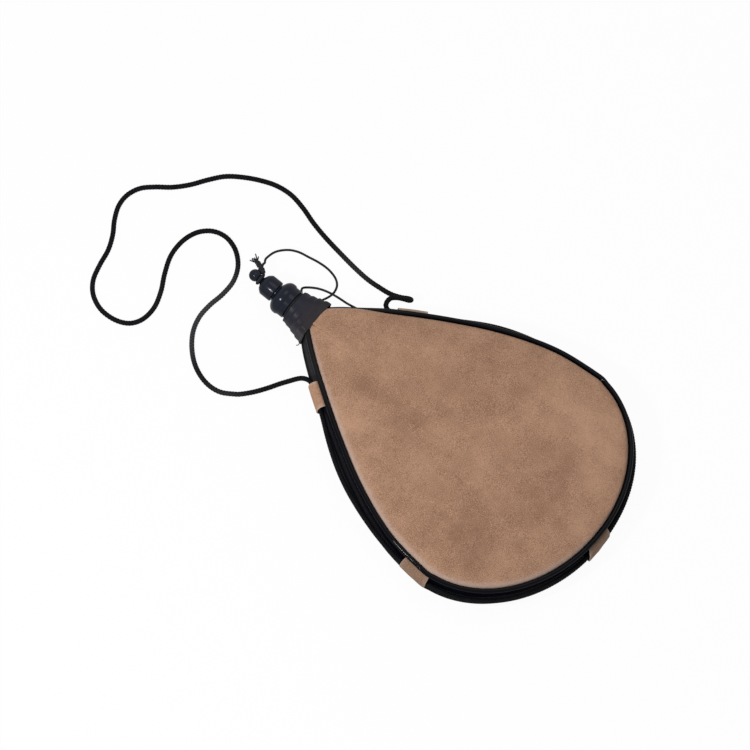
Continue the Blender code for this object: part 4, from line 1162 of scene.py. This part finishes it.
# Inside pieces
# The latex bladder, the spout, the binding twine and the seals are hidden at rest. They keep
# their own shapes and get the finish of what they are made of.
latex = Finish("latex_skin", Roughness=0.55, Subsurface_Weight=0.15)
latex.give("Base Color", latex.mix(latex.cloud(90.0, 4.0), (0.50, 0.37, 0.22), (0.62, 0.50, 0.33)))
latex.give("Normal", latex.bump(latex.cloud(700.0), 0.00008, 0.5))
rubber = Finish("seal_rubber", Roughness=0.62)
rubber.give("Base Color", rubber.mix(rubber.cloud(300.0, 4.0), (0.022, 0.022, 0.022), (0.060, 0.058, 0.055)))
rubber.give("Normal", rubber.bump(rubber.cloud(1500.0), 0.00004, 0.6))
twine = Finish("waxed_twine", Roughness=0.6)
twine_wave = twine.node("ShaderNodeTexWave", {"bands_direction": "DIAGONAL"},
                        {"Vector": twine.place(), "Scale": 900.0, "Distortion": 2.0}, 1)
twine.give("Base Color", twine.mix(twine_wave, (0.010, 0.009, 0.008), (0.040, 0.036, 0.030)))
twine.give("Normal", twine.bump(twine_wave, 0.0001, 0.7))
for node, finish in (("bladder", latex.material), ("spout", moulded_black), ("neck_binding", twine.material),
                     ("filler_gasket", rubber.material), ("cap_liner", rubber.material)):
    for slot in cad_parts[node].material_slots:
        slot.material = finish


# Ground and light
# A plain white ground in a white room. One small soft lamp high on the left draws the fine
# bright lines on the piping and the caps, and a broad one fills from the far side.
GROUND_SIZE = 12.0
GROUND_GLOW = 0.95
deselect()
bpy.ops.mesh.primitive_plane_add(size=GROUND_SIZE, location=(0.0, 0.0, 0.0))
ground = bpy.context.object
ground.name = "ground"
ground_finish = Finish("ground_white", Roughness=0.9, Specular_IOR_Level=0.0)
ground_finish.give("Base Color", (0.88, 0.88, 0.88))
seen = ground_finish.node("ShaderNodeLightPath", {}, {}, "Is Camera Ray")
glow = ground_finish.node("ShaderNodeEmission", {}, {"Color": (1.0, 1.0, 1.0)})
lit = Value(ground_finish, ground_finish.shader.outputs[0])
surface = ground_finish.node("ShaderNodeMixShader", {}, {0: seen * GROUND_GLOW, 1: lit, 2: glow})
ground_finish.feed(ground_finish.tree.nodes["Material Output"].inputs[0], surface)
ground.data.materials.append(ground_finish.material)

ROOM_LIGHT = 0.46
world = bpy.data.worlds.new("white_room")
bpy.context.scene.world = world
world.use_nodes = True
room = Sheet(world.node_tree)
ways = ["Is Camera Ray", "Is Glossy Ray", "Is Transmission Ray"]
looked, shone, passed = [room.node("ShaderNodeLightPath", {}, {}, way) for way in ways]
direct = looked.or_more(shone).or_more(passed)
background = room.tree.nodes["Background"]
room.feed(background.inputs["Color"], (1.0, 1.0, 1.0))
room.feed(background.inputs["Strength"], ROOM_LIGHT + direct * (1.0 - ROOM_LIGHT))


def lamp(name, way, distance, aim, power, size):
    data = bpy.data.lights.new(name, "AREA")
    data.energy = power
    data.shape = "DISK"
    data.size = size
    made = bpy.data.objects.new(name, data)
    bpy.context.scene.collection.objects.link(made)
    made.location = aim + way.normalized() * distance
    made.rotation_euler = (-way).to_track_quat("-Z", "Y").to_euler()


bag_middle = Vector((0.0, 0.03, 0.02))
lamp("key", Vector((-0.66, 0.20, 0.72)), distance=1.3, aim=bag_middle, power=8.2, size=0.14)
lamp("fill", toward_camera + picture_right * 0.25 + picture_up * 0.9, distance=1.6, aim=bag_middle,
     power=3.4, size=0.9)

bpy.context.scene.view_settings.view_transform = "Standard"
